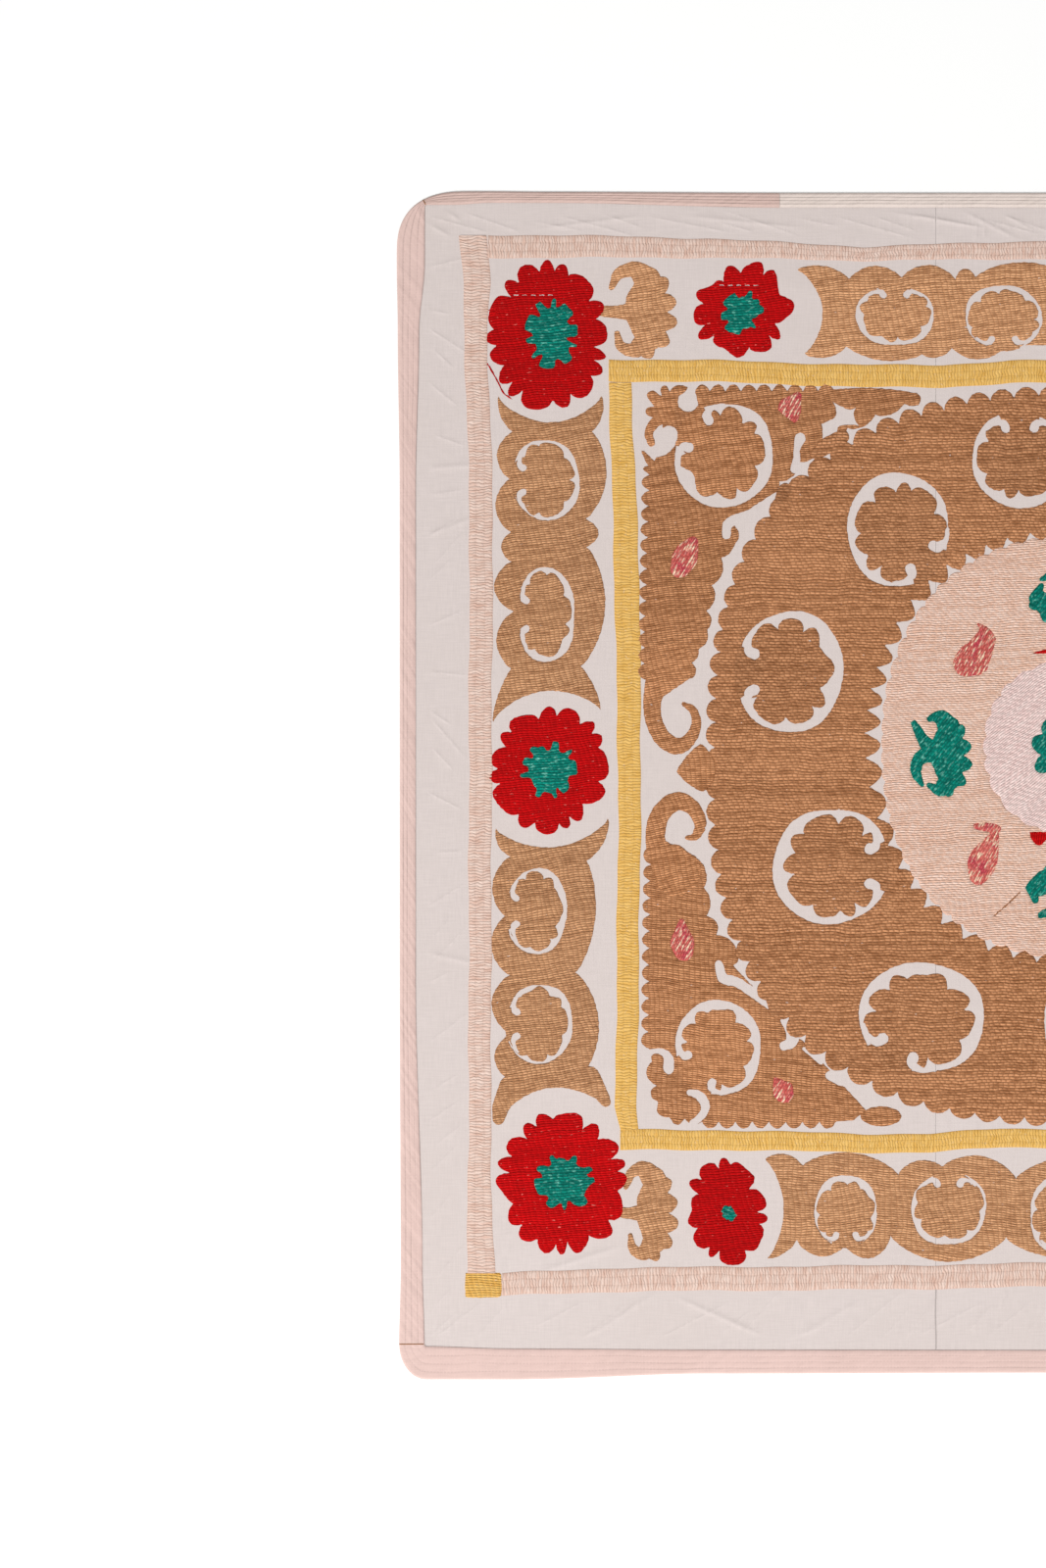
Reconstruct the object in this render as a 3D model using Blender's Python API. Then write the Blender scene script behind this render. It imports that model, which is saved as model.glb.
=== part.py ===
"""Suzani: an embroidered cotton hanging, laid face up on a flat surface.

Three cotton panels are seamed into the ground, and six sewn-on strips bind its edge. Each strip laps
over the ground's raw edge and has long stitched tucks. Metres, +Z up, +Y towards the cloth's top edge.
The origin is on the surface, under the middle of the cloth.
"""
import math
from bisect import bisect_right
from collections import namedtuple

import bmesh
import bpy
from mathutils import Vector

# Ground cloth
GROUND_THICKNESS = 0.0015
SEAM_X = 0.165            # the two panel seams stand this far left and right of the middle
GRID_CELL = 0.034         # spacing of the points that carry the wrinkles
PIECE_GAP = 0.0003        # room left between two pieces that touch

# Binding strips
LAP = 0.007               # how far a strip reaches over the ground's edge
LAP_SHARE = 0.3           # and the most of a narrow strip's own width that the lap takes
LAP_UNDERSIDE = GROUND_THICKNESS + PIECE_GAP
OUTER_TOP = 0.0020        # height of a strip along the cloth's outer edge
INNER_TOP = 0.0026        # height of a strip where it laps over the ground
TUCK_RISE = 0.0004        # how far the tucks stand up between their stitch lines
TUCK_STEPS = 8            # points across a strip, two for each tuck
ROUNDING = 0.0006         # how far a strip's edges are rounded off
OUTER_EDGE_HEIGHT = 0.0009
STRIP_END_ROOM = 0.004    # an outline point closer than this to a strip's end is dropped

# Outline, by the distance along a side: how far that side is from the middle, and its binding's width
SidePoint = namedtuple("SidePoint", "along out width")
BOTTOM_SIDE = [SidePoint(0.020, 0.7189, 0.0275), SidePoint(0.440, 0.7200, 0.0290),
               SidePoint(0.686, 0.7272, 0.0375), SidePoint(0.790, 0.7272, 0.0405)]
LEFT_SIDE = [SidePoint(-0.690, 0.8216, 0.0310), SidePoint(-0.590, 0.8196, 0.0265),
             SidePoint(-0.240, 0.8208, 0.0195), SidePoint(0.362, 0.8208, 0.0195),
             SidePoint(0.555, 0.8232, 0.0260), SidePoint(0.640, 0.8244, 0.0342)]
TOP_SIDE = [SidePoint(0.356, 0.7254, 0.0180), SidePoint(0.640, 0.7266, 0.0135),
            SidePoint(0.710, 0.7272, 0.0140), SidePoint(0.755, 0.7272, 0.0165)]

# Rounded corners: how far each takes off along the sides, and how square its curve is
Corner = namedtuple("Corner", "across up squareness steps")
LOWER_CORNER = Corner(0.0330, 0.0440, 2.0, 9)
UPPER_CORNER = Corner(0.0860, 0.0740, 2.5, 14)
INNER_CORNER_RADIUS = 0.003
SIDE_STEP = 0.062         # spacing of the outline's points along the straight sides

# Strips of binding, by the places on the edge where each starts and ends, clockwise round the cloth
Strip = namedtuple("Strip", "name start end material")
STRIPS = [
    Strip("binding_left", (-0.822, -0.684), (-0.792, 0.716), "pink_cotton"),
    Strip("binding_top_left", (-0.792, 0.716), (-0.356, 0.725), "pink_cotton"),
    Strip("binding_top_middle", (-0.356, 0.725), (0.356, 0.725), "cream_cotton"),
    Strip("binding_top_right", (0.356, 0.725), (0.792, 0.716), "pink_cotton"),
    Strip("binding_right", (0.792, 0.716), (0.822, -0.684), "pink_cotton"),
    Strip("binding_bottom", (0.822, -0.684), (-0.822, -0.684), "pink_cotton"),
]

# Main wrinkles of the ground: soft ridges, by their middle, length, slant from +X, height and width
Wrinkle = namedtuple("Wrinkle", "x y length slant height width")
WRINKLES = [
    Wrinkle(-0.670, -0.480, 0.30, 38, 0.0007, 0.020),
    Wrinkle(-0.610, -0.540, 0.22, 30, 0.0006, 0.018),
    Wrinkle(-0.640, 0.560, 0.34, -33, 0.0007, 0.022),
    Wrinkle(-0.300, 0.610, 0.46, -8, 0.0006, 0.020),
    Wrinkle(-0.080, 0.600, 0.30, -14, 0.0007, 0.020),
    Wrinkle(0.340, 0.600, 0.44, 9, 0.0006, 0.020),
    Wrinkle(0.650, 0.540, 0.32, 35, 0.0007, 0.022),
    Wrinkle(0.660, -0.490, 0.30, -36, 0.0007, 0.020),
    Wrinkle(-0.190, -0.615, 0.20, 48, 0.0006, 0.018),
    Wrinkle(0.280, -0.600, 0.30, -30, 0.0006, 0.018),
    Wrinkle(-0.700, 0.100, 0.36, 84, 0.0004, 0.020),
    Wrinkle(0.700, 0.050, 0.40, 97, 0.0004, 0.020),
]
SLAB_SIZE = (1.72, 1.52)  # the wrinkled slab that the panels are cut from
SLAB_DEPTH = 0.002        # how far it reaches below the surface before it is cut
CUT_HEIGHT = 0.012
SWELL_HEIGHT = 0.0004     # slow unevenness all over the ground
SWELL_LENGTH = 0.42
FLAT_MARGIN = 0.075       # the ground is flat this close to the cloth's edge
FADE_LENGTH = 0.050       # and its wrinkles reach full height this much further in

# Colours, from the cloth
MATERIALS = {
    "ground_cotton": (0.745, 0.700, 0.680),
    "pink_cotton": (0.760, 0.560, 0.530),
    "cream_cotton": (0.750, 0.660, 0.610),
}


def smooth_step(t):
    t = min(max(t, 0.0), 1.0)
    return t * t * (3.0 - 2.0 * t)


def side_at(rows, along):
    """How far out a side is at a place along it, and its binding's width, eased from row to row."""
    i = bisect_right([row.along for row in rows], along)
    near, far = rows[max(i - 1, 0)], rows[min(i, len(rows) - 1)]
    share = smooth_step((along - near.along) / (far.along - near.along)) if far is not near else 0.0
    return near.out + (far.out - near.out) * share, near.width + (far.width - near.width) * share


def steps_between(start, end, spacing):
    """Evenly spaced numbers from start to end, both ends included."""
    count = max(1, round(abs(end - start) / spacing))
    return [start + (end - start) * i / count for i in range(count + 1)]


def corner_points(corner, centre, from_side):
    """Points round a corner of the left half, from its side end to its top or bottom end or back."""
    points = []
    for i in range(1, corner.steps):
        turn = math.pi / 2 * i / corner.steps
        across = corner.across * math.cos(turn) ** (2 / corner.squareness)
        up = corner.up * math.sin(turn) ** (2 / corner.squareness)
        points.append(Vector((centre.x - across, centre.y + math.copysign(up, centre.y))))
    return points if from_side else points[::-1]


def outline():
    """The cloth's edge, clockwise from the middle of its bottom side."""
    low_y, high_y = -BOTTOM_SIDE[-1].out, TOP_SIDE[-1].out
    low_x, high_x = -LEFT_SIDE[0].out, -LEFT_SIDE[-1].out
    low_centre = Vector((low_x + LOWER_CORNER.across, low_y + LOWER_CORNER.up))
    high_centre = Vector((high_x + UPPER_CORNER.across, high_y - UPPER_CORNER.up))
    half = [Vector((x, -side_at(BOTTOM_SIDE, -x)[0])) for x in steps_between(0, low_centre.x, SIDE_STEP)]
    half += corner_points(LOWER_CORNER, low_centre, from_side=False)
    half += [Vector((-side_at(LEFT_SIDE, y)[0], y)) for y in steps_between(low_centre.y, high_centre.y, SIDE_STEP)]
    half += corner_points(UPPER_CORNER, high_centre, from_side=True)
    half += [Vector((x, side_at(TOP_SIDE, -x)[0])) for x in steps_between(high_centre.x, 0, SIDE_STEP)]
    return half + [Vector((-p.x, p.y)) for p in half[-2:0:-1]]


def inner_edge(point):
    """The binding's inner edge opposite a point on the cloth's edge: straight in, and round the corners."""
    left_out, left_width = side_at(LEFT_SIDE, point.y)
    low_out, low_width = side_at(BOTTOM_SIDE, abs(point.x))
    high_out, high_width = side_at(TOP_SIDE, abs(point.x))
    side = left_out - left_width - INNER_CORNER_RADIUS
    low = low_width - low_out + INNER_CORNER_RADIUS
    high = high_out - high_width - INNER_CORNER_RADIUS
    centre = Vector((max(-side, min(side, point.x)), max(low, min(high, point.y))))
    return centre + (point - centre).normalized() * INNER_CORNER_RADIUS


def lap_at(width):
    return min(LAP, LAP_SHARE * width)


class EdgePath:
    """The cloth's closed edge, read by the distance along it."""

    def __init__(self, points):
        self.points = points + points[:1]
        self.lengths = [0.0]
        for a, b in zip(self.points, self.points[1:]):
            self.lengths.append(self.lengths[-1] + (b - a).length)
        self.total = self.lengths[-1]

    def nearest(self, x, y):
        """Distance along the edge to its closest point to x, y."""
        target = Vector((x, y))
        best = (math.inf, 0.0)
        for a, b, start in zip(self.points, self.points[1:], self.lengths):
            run = b - a
            share = min(max((target - a).dot(run) / run.length_squared, 0.0), 1.0)
            best = min(best, ((a + run * share - target).length, start + run.length * share))
        return best[1]

    def at(self, along):
        """Point on the edge, the direction across the binding there, and the binding's width."""
        along %= self.total
        i = min(bisect_right(self.lengths, along), len(self.points) - 1)
        share = (along - self.lengths[i - 1]) / (self.lengths[i] - self.lengths[i - 1])
        point = self.points[i - 1].lerp(self.points[i], share)
        across = inner_edge(point) - point
        return point, across.normalized(), across.length


def strip_spans(path):
    """Start and end distance of each strip along the edge, with half a gap left at each end."""
    spans = {}
    for strip in STRIPS:
        start, end = path.nearest(*strip.start), path.nearest(*strip.end)
        if end < start:
            end += path.total
        spans[strip.name] = (start + PIECE_GAP / 2, end - PIECE_GAP / 2)
    return spans


def stations(path, spans):
    """Every distance along the edge at which the ground and the strips have a point."""
    ends = [end % path.total for span in spans.values() for end in span]
    kept = [along for along in path.lengths[:-1] if all(abs(along - end) > STRIP_END_ROOM for end in ends)]
    return sorted(kept + ends)


def empty_scene():
    """Empty the scene and make the two collections."""
    for old in list(bpy.data.objects):
        bpy.data.objects.remove(old, do_unlink=True)
    made = {}
    for name in ("suzani", "cutters"):
        made[name] = bpy.data.collections.new(name)
        bpy.context.scene.collection.children.link(made[name])
    return made["suzani"], made["cutters"]


def material(name):
    made = bpy.data.materials.get(name)
    if made is None:
        made = bpy.data.materials.new(name)
        made.use_nodes = True
        shader = made.node_tree.nodes["Principled BSDF"]
        shader.inputs["Base Color"].default_value = (*MATERIALS[name], 1.0)
        shader.inputs["Roughness"].default_value = 0.9
        shader.inputs["Metallic"].default_value = 0.0
    return made


def add_object(name, mesh, collection, material_name):
    made = bpy.data.objects.new(name, mesh)
    mesh.materials.clear()
    mesh.materials.append(material(material_name))
    mesh.shade_smooth()
    mesh.set_sharp_from_angle(angle=math.radians(35))
    collection.objects.link(made)
    return made


def wrinkle_rise(x, y):
    """Height of the wrinkles and the slow swell over the flat ground."""
    to_edge = min(LEFT_SIDE[2].out - abs(x), TOP_SIDE[0].out - abs(y))
    fade = smooth_step((to_edge - FLAT_MARGIN) / FADE_LENGTH)
    wave = 2 * math.pi / SWELL_LENGTH
    rise = SWELL_HEIGHT * (0.5 + 0.25 * math.sin(wave * x + 1.7 * math.sin(wave * y * 0.6))
                           + 0.25 * math.cos(wave * y * 1.2 + 1.1 * math.sin(wave * x * 0.7)))
    for fold in WRINKLES:
        slant = math.radians(fold.slant)
        dx, dy = x - fold.x, y - fold.y
        along = dx * math.cos(slant) + dy * math.sin(slant)
        off = dy * math.cos(slant) - dx * math.sin(slant)
        reach = smooth_step(2 - 2 * abs(along) / (fold.length / 2))
        rise += fold.height * reach * math.exp(-(off / fold.width) ** 2)
    return fade * rise


def wrinkled_slab():
    """A slab wider than the cloth: wrinkled on top, and open space for the cutters below."""
    width, height = SLAB_SIZE
    cells_across, cells_up = round(width / GRID_CELL), round(height / GRID_CELL)
    bm = bmesh.new()
    bmesh.ops.create_grid(bm, x_segments=cells_across, y_segments=cells_up, size=0.5)
    bmesh.ops.scale(bm, vec=(width, height, 1.0), verts=bm.verts)
    for vert in bm.verts:
        vert.co.z = GROUND_THICKNESS + wrinkle_rise(vert.co.x, vert.co.y)
    rim = [edge for edge in bm.edges if edge.is_boundary]
    skirt = bmesh.ops.extrude_edge_only(bm, edges=rim)["geom"]
    for vert in (item for item in skirt if isinstance(item, bmesh.types.BMVert)):
        vert.co.z = -SLAB_DEPTH
    bmesh.ops.holes_fill(bm, edges=[edge for edge in bm.edges if edge.is_boundary], sides=0)
    bmesh.ops.recalc_face_normals(bm, faces=bm.faces)
    mesh = bpy.data.meshes.new("wrinkled_slab")
    bm.to_mesh(mesh)
    bm.free()
    return mesh


def clip_at_x(points, limit, keep_right):
    """The part of a closed outline that lies to one side of an upright line."""
    kept = []
    for a, b in zip(points, points[1:] + points[:1]):
        a_in, b_in = ((p.x >= limit) == keep_right for p in (a, b))
        if a_in:
            kept.append(a)
        if a_in != b_in:
            kept.append(a.lerp(b, (limit - a.x) / (b.x - a.x)))
    return kept


def outline_prism(name, points, height, collection):
    """A closed prism on the surface with the given outline, as a hidden cutter."""
    curve = bpy.data.curves.new(name, "CURVE")
    curve.dimensions = "2D"
    curve.fill_mode = "BOTH"
    curve.extrude = height / 2
    spline = curve.splines.new("POLY")
    spline.points.add(len(points) - 1)
    for slot, point in zip(spline.points, points):
        slot.co = (point.x, point.y, 0.0, 1.0)
    spline.use_cyclic_u = True
    shape = bpy.data.objects.new(name + "_curve", curve)
    collection.objects.link(shape)
    bpy.context.view_layer.update()
    mesh = bpy.data.meshes.new_from_object(shape.evaluated_get(bpy.context.evaluated_depsgraph_get()))
    bm = bmesh.new()
    bm.from_mesh(mesh)
    bmesh.ops.remove_doubles(bm, verts=bm.verts, dist=1e-6)
    bmesh.ops.translate(bm, vec=(0, 0, height / 2), verts=bm.verts)
    bmesh.ops.recalc_face_normals(bm, faces=bm.faces)
    bm.to_mesh(mesh)
    bm.free()
    bpy.data.objects.remove(shape, do_unlink=True)
    cutter = bpy.data.objects.new(name, mesh)
    collection.objects.link(cutter)
    cutter.hide_render = True
    cutter.display_type = "WIRE"
    return cutter


def ground_panels(path, places, suzani, cutters):
    """Three panels: the wrinkled slab, kept inside the ground's outline between the seams."""
    edge = []
    for along in places:
        point, inward, width = path.at(along)
        edge.append(point + inward * (width - lap_at(width)))
    half_gap = PIECE_GAP / 2
    beyond = 1.0
    panels = {
        "ground_left": (-beyond, -SEAM_X - half_gap),
        "ground_middle": (-SEAM_X + half_gap, SEAM_X - half_gap),
        "ground_right": (SEAM_X + half_gap, beyond),
    }
    slab = wrinkled_slab()
    for name, (left, right) in panels.items():
        shape = clip_at_x(clip_at_x(edge, left, keep_right=True), right, keep_right=False)
        cutter = outline_prism(name + "_outline", shape, CUT_HEIGHT, cutters)
        panel = add_object(name, slab.copy(), suzani, "ground_cotton")
        cut = panel.modifiers.new("outline", "BOOLEAN")
        cut.operation = "INTERSECT"
        cut.solver = "MANIFOLD"    # the exact solver gives nothing on the outer panels' round corners
        cut.object = cutter


def strip_section(width):
    """Section of a binding strip, from its outer foot over the tucks to the step on the ground's edge."""
    step = width - lap_at(width) - PIECE_GAP
    section = [(ROUNDING, 0.0), (0.0, OUTER_EDGE_HEIGHT)]
    first, last = 2 * ROUNDING, width - ROUNDING
    for i in range(TUCK_STEPS + 1):
        share = i / TUCK_STEPS
        rise = TUCK_RISE if i % 2 else 0.0
        section.append((first + (last - first) * share, OUTER_TOP + (INNER_TOP - OUTER_TOP) * share + rise))
    section += [(width, LAP_UNDERSIDE + ROUNDING / 2), (width - ROUNDING / 2, LAP_UNDERSIDE)]
    section += [(step, LAP_UNDERSIDE), (step, 0.0)]
    return section


def binding_strip(strip, span, path, places, suzani):
    """One strip, lofted through its sections along the edge."""
    start, end = span
    inner = [along + turn * path.total for turn in (0, 1) for along in places]
    run = [start] + [along for along in inner if start + 1e-6 < along < end - 1e-6] + [end]
    bm = bmesh.new()
    rings = []
    for along in run:
        point, inward, width = path.at(along)
        ring = []
        for across, up in strip_section(width):
            place = point + inward * across
            ring.append(bm.verts.new((place.x, place.y, up)))
        rings.append(ring)
    loops = []
    for ring in rings:
        loops.append([bm.edges.new((a, b)) for a, b in zip(ring, ring[1:] + ring[:1])])
    for near, far in zip(loops, loops[1:]):
        bmesh.ops.bridge_loops(bm, edges=near + far)
    bm.faces.new(rings[0])
    bm.faces.new(rings[-1])
    bmesh.ops.recalc_face_normals(bm, faces=bm.faces)
    mesh = bpy.data.meshes.new(strip.name)
    bm.to_mesh(mesh)
    bm.free()
    add_object(strip.name, mesh, suzani, strip.material)


def main():
    suzani, cutters = empty_scene()
    path = EdgePath(outline())
    spans = strip_spans(path)
    places = stations(path, spans)
    ground_panels(path, places, suzani, cutters)
    for strip in STRIPS:
        binding_strip(strip, spans[strip.name], path, places, suzani)


main()
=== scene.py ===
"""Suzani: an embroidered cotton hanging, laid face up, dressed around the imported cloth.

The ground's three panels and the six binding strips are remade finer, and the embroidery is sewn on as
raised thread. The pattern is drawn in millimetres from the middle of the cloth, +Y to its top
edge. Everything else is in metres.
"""
import math
from bisect import bisect_right
from collections import namedtuple
from functools import lru_cache

import bpy
import numpy as np
from bpy.props import FloatProperty, FloatVectorProperty, PointerProperty
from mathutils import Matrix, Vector
from mathutils.geometry import delaunay_2d_cdt


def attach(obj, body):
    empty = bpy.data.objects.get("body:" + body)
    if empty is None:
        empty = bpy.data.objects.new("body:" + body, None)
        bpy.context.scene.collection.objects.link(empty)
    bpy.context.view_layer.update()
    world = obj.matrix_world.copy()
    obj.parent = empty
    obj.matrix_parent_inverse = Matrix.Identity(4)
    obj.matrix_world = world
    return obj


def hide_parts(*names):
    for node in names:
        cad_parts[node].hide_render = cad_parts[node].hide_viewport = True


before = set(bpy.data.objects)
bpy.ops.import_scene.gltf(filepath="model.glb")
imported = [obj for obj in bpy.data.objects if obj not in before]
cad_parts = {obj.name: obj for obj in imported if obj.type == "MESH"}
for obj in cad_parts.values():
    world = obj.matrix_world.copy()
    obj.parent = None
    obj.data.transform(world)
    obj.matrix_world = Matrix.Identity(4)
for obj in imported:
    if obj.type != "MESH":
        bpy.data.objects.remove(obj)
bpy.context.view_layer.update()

bl_info = {
    "name": "Suzani",
    "version": (1, 0, 0),
    "blender": (4, 5, 0),
    "location": "View3D > Sidebar > Suzani",
    "description": "Sews the suzani's ground, binding, bands and embroidery round the packed cloth",
    "category": "Add Mesh",
}

BODY = "root"
MM = 0.001

# Ground cloth
GROUND_THICKNESS = 0.0015
GROUND_REACH = (0.83, 0.73)    # half the size of the area that its points fill
SEAM_X = 0.165            # the two panel seams stand this far left and right of the middle
PIECE_GAP = 0.0003        # room left between two pieces that touch

# Binding strips
LAP = 0.007
LAP_SHARE = 0.3
LAP_UNDERSIDE = GROUND_THICKNESS + PIECE_GAP
OUTER_TOP = 0.0020
INNER_TOP = 0.0026
TUCK_RISE = 0.0004
TUCK_WIDTH = 0.0195       # the tucks are flatter where the binding is wider than this
TUCKS = 4
STEPS_A_TUCK = 5
ROUNDING = 0.0006
INNER_BEVEL = 0.0024
OUTER_EDGE_HEIGHT = 0.0009
PUCKER = 0.00012          # how unevenly the tucks stand along a strip
PUCKER_START = LAP * 0.3  # and how far in from the cloth's edge that starts
PUCKER_WAVES = (370, 900, 143)    # radians a metre along, across, and along for its slow change

# Outline, by the distance along a side: how far that side is from the middle, and its binding's width
SidePoint = namedtuple("SidePoint", "along out width")
BOTTOM_SIDE = [SidePoint(0.020, 0.7189, 0.0275), SidePoint(0.440, 0.7200, 0.0290),
               SidePoint(0.686, 0.7272, 0.0375), SidePoint(0.790, 0.7272, 0.0405)]
LEFT_SIDE = [SidePoint(-0.690, 0.8216, 0.0310), SidePoint(-0.590, 0.8196, 0.0265),
             SidePoint(-0.240, 0.8208, 0.0195), SidePoint(0.362, 0.8208, 0.0195),
             SidePoint(0.555, 0.8232, 0.0260), SidePoint(0.640, 0.8244, 0.0342)]
TOP_SIDE = [SidePoint(0.356, 0.7254, 0.0180), SidePoint(0.640, 0.7266, 0.0135),
            SidePoint(0.710, 0.7272, 0.0140), SidePoint(0.755, 0.7272, 0.0165)]
Corner = namedtuple("Corner", "across up squareness steps")
LOWER_CORNER = Corner(0.0330, 0.0440, 2.0, 18)
UPPER_CORNER = Corner(0.0860, 0.0740, 2.5, 28)
INNER_CORNER_RADIUS = 0.003
EDGE_STEP = 0.006

Strip = namedtuple("Strip", "name start end finish slot")
STRIPS = [
    Strip("binding_left", (-0.822, -0.684), (-0.792, 0.716), "pink cotton", "pink_binding"),
    Strip("binding_top_left", (-0.792, 0.716), (-0.356, 0.725), "rose cotton", "pink_binding"),
    Strip("binding_top_middle", (-0.356, 0.725), (0.356, 0.725), "cream cotton", "cream_binding"),
    Strip("binding_top_right", (0.356, 0.725), (0.792, 0.716), "rose cotton", "pink_binding"),
    Strip("binding_right", (0.792, 0.716), (0.822, -0.684), "pink cotton", "pink_binding"),
    Strip("binding_bottom", (0.822, -0.684), (-0.822, -0.684), "low cotton", "pink_binding"),
]

# Wrinkles of the ground: soft ridges, by their middle, length, slant from +X, height and width
Wrinkle = namedtuple("Wrinkle", "x y length slant height width")
WRINKLES = [
    Wrinkle(-0.670, -0.480, 0.30, 38, 0.0007, 0.020),
    Wrinkle(-0.610, -0.540, 0.22, 30, 0.0006, 0.018),
    Wrinkle(-0.640, 0.560, 0.34, -33, 0.0007, 0.022),
    Wrinkle(-0.300, 0.610, 0.46, -8, 0.0006, 0.020),
    Wrinkle(-0.080, 0.600, 0.30, -14, 0.0007, 0.020),
    Wrinkle(0.340, 0.600, 0.44, 9, 0.0006, 0.020),
    Wrinkle(0.650, 0.540, 0.32, 35, 0.0007, 0.022),
    Wrinkle(0.660, -0.490, 0.30, -36, 0.0007, 0.020),
    Wrinkle(-0.190, -0.615, 0.20, 48, 0.0006, 0.018),
    Wrinkle(0.280, -0.600, 0.30, -30, 0.0006, 0.018),
    Wrinkle(-0.700, 0.100, 0.36, 84, 0.0004, 0.020),
    Wrinkle(0.700, 0.050, 0.40, 97, 0.0004, 0.020),
]
SWELL_HEIGHT = 0.0004
SWELL_LENGTH = 0.42
FLAT_MARGIN = 0.075
FADE_LENGTH = 0.050

# Creases of the bare margins
CREASES = [
    Wrinkle(-0.188, -0.660, 0.080, 55, 0.0008, 0.005),
    Wrinkle(-0.110, -0.652, 0.040, 48, 0.0006, 0.005),
    Wrinkle(-0.083, -0.632, 0.030, 64, 0.0005, 0.004),
    Wrinkle(-0.172, 0.694, 0.110, -10, 0.0007, 0.005),
    Wrinkle(-0.100, 0.687, 0.070, -27, 0.0007, 0.005),
    Wrinkle(-0.063, 0.689, 0.035, -27, 0.0005, 0.004),
    Wrinkle(-0.115, 0.679, 0.018, 88, 0.0005, 0.003),
    Wrinkle(-0.105, 0.679, 0.018, 88, 0.0005, 0.003),
    Wrinkle(-0.760, 0.701, 0.030, -37, 0.0006, 0.005),
    Wrinkle(-0.775, 0.681, 0.034, -27, 0.0006, 0.005),
    Wrinkle(-0.762, 0.390, 0.090, 4, 0.0006, 0.006),
    Wrinkle(-0.764, 0.315, 0.070, 22, 0.0006, 0.006),
    Wrinkle(-0.760, 0.050, 0.060, 70, 0.0005, 0.006),
    Wrinkle(-0.765, -0.210, 0.080, -12, 0.0005, 0.006),
    Wrinkle(-0.600, -0.580, 0.100, 18, 0.0007, 0.007),
    Wrinkle(-0.560, -0.655, 0.120, 33, 0.0007, 0.006),
    Wrinkle(-0.430, -0.650, 0.110, -24, 0.0006, 0.006),
    Wrinkle(-0.300, -0.655, 0.090, 30, 0.0006, 0.006),
    Wrinkle(-0.590, 0.689, 0.120, 7, 0.0006, 0.005),
    Wrinkle(-0.400, 0.690, 0.140, -6, 0.0006, 0.005),
    Wrinkle(0.120, 0.688, 0.100, 20, 0.0007, 0.005),
    Wrinkle(0.330, 0.690, 0.140, -9, 0.0006, 0.005),
    Wrinkle(0.610, 0.688, 0.110, 14, 0.0006, 0.005),
    Wrinkle(0.762, 0.420, 0.080, -14, 0.0006, 0.006),
    Wrinkle(0.765, 0.090, 0.070, 26, 0.0006, 0.006),
    Wrinkle(0.762, -0.280, 0.090, 8, 0.0006, 0.006),
    Wrinkle(0.210, -0.655, 0.110, -35, 0.0007, 0.006),
    Wrinkle(0.420, -0.652, 0.100, 24, 0.0006, 0.006),
    Wrinkle(0.600, -0.650, 0.120, -30, 0.0007, 0.006),
]
CREASE_SHARPNESS = 2.0         # they are made this many times narrower
CREASE_STRETCH = 1.2           # and this many times longer
SIDE_CREASES = 30              # fainter ones added along each side
END_CREASES = 28               # and along the top and the bottom
FINE_CREASE = (0.00036, 0.0015)  # height and width of the fainter ones
CREASE_STEP = 0.005            # spacing of the ground's extra points along a crease
CREASE_SHARES = (-1.7, -1.0, -0.45, 0.0, 0.45, 1.0, 1.7)  # where they lie, in widths from its middle
SIDE_CREASE_MARGIN = 0.034
TOP_CREASE_MARGIN = 0.020
BOTTOM_CREASE_MARGIN = 0.040
CREASE_FADE = 0.010

# Seams
SEAM_SPAN = (-0.690, -0.616)   # the part of a panel seam that shows
SEAM_RISE = 0.0003
SEAM_SINK = 0.0002
SEAM_STEP = 0.004
SEAM_WANDER = (0.0004, 90)     # how far a panel seam sways, and at how many radians a metre
PANEL_SEAM_HALF = 0.0007       # half the width of a seam between two panels
CORNER_SEAM_HALF = 0.0006      # and between two strips of binding

# Ladder-stitched bands: their middle and width, by the distance along, in millimetres
BandPoint = namedtuple("BandPoint", "along middle width")
PINK_LEFT = [BandPoint(-597, -722, 34), BandPoint(-454, -723, 27), BandPoint(122, -722, 28),
             BandPoint(338, -721, 28.6), BandPoint(562, -728, 28), BandPoint(614, -727, 33),
             BandPoint(673, -731, 34)]
PINK_TOP = [BandPoint(-713, 660, 27.6), BandPoint(-638, 660, 27.6), BandPoint(-446, 658, 23.4),
            BandPoint(-254, 651, 17), BandPoint(-30, 656, 22), BandPoint(30, 656, 22),
            BandPoint(254, 652, 19), BandPoint(446, 658, 24), BandPoint(638, 660, 27.6),
            BandPoint(713, 660, 27.6)]
PINK_BOTTOM = [BandPoint(-696, -611, 27.6), BandPoint(-560, -605, 28.8), BandPoint(-200, -602, 29),
               BandPoint(-30, -599, 29), BandPoint(30, -599, 29), BandPoint(220, -602, 29),
               BandPoint(560, -606, 28.8), BandPoint(696, -611, 27.6)]
YELLOW_LEFT = [BandPoint(-422, -540, 22), BandPoint(-394, -543.6, 26.4), BandPoint(2, -539.4, 27.6),
               BandPoint(242, -542.4, 31), BandPoint(430, -549, 28), BandPoint(493, -551, 27.6)]
YELLOW_TOP = [BandPoint(-565, 508.5, 27), BandPoint(-434, 507, 26.4), BandPoint(-386, 505.8, 26.4),
              BandPoint(-254, 501, 27.4), BandPoint(-158, 501, 27.4), BandPoint(-74, 506.4, 27.6),
              BandPoint(90, 506, 27.6), BandPoint(200, 502, 27.4), BandPoint(390, 505, 26.4),
              BandPoint(565, 508.5, 27)]
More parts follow.
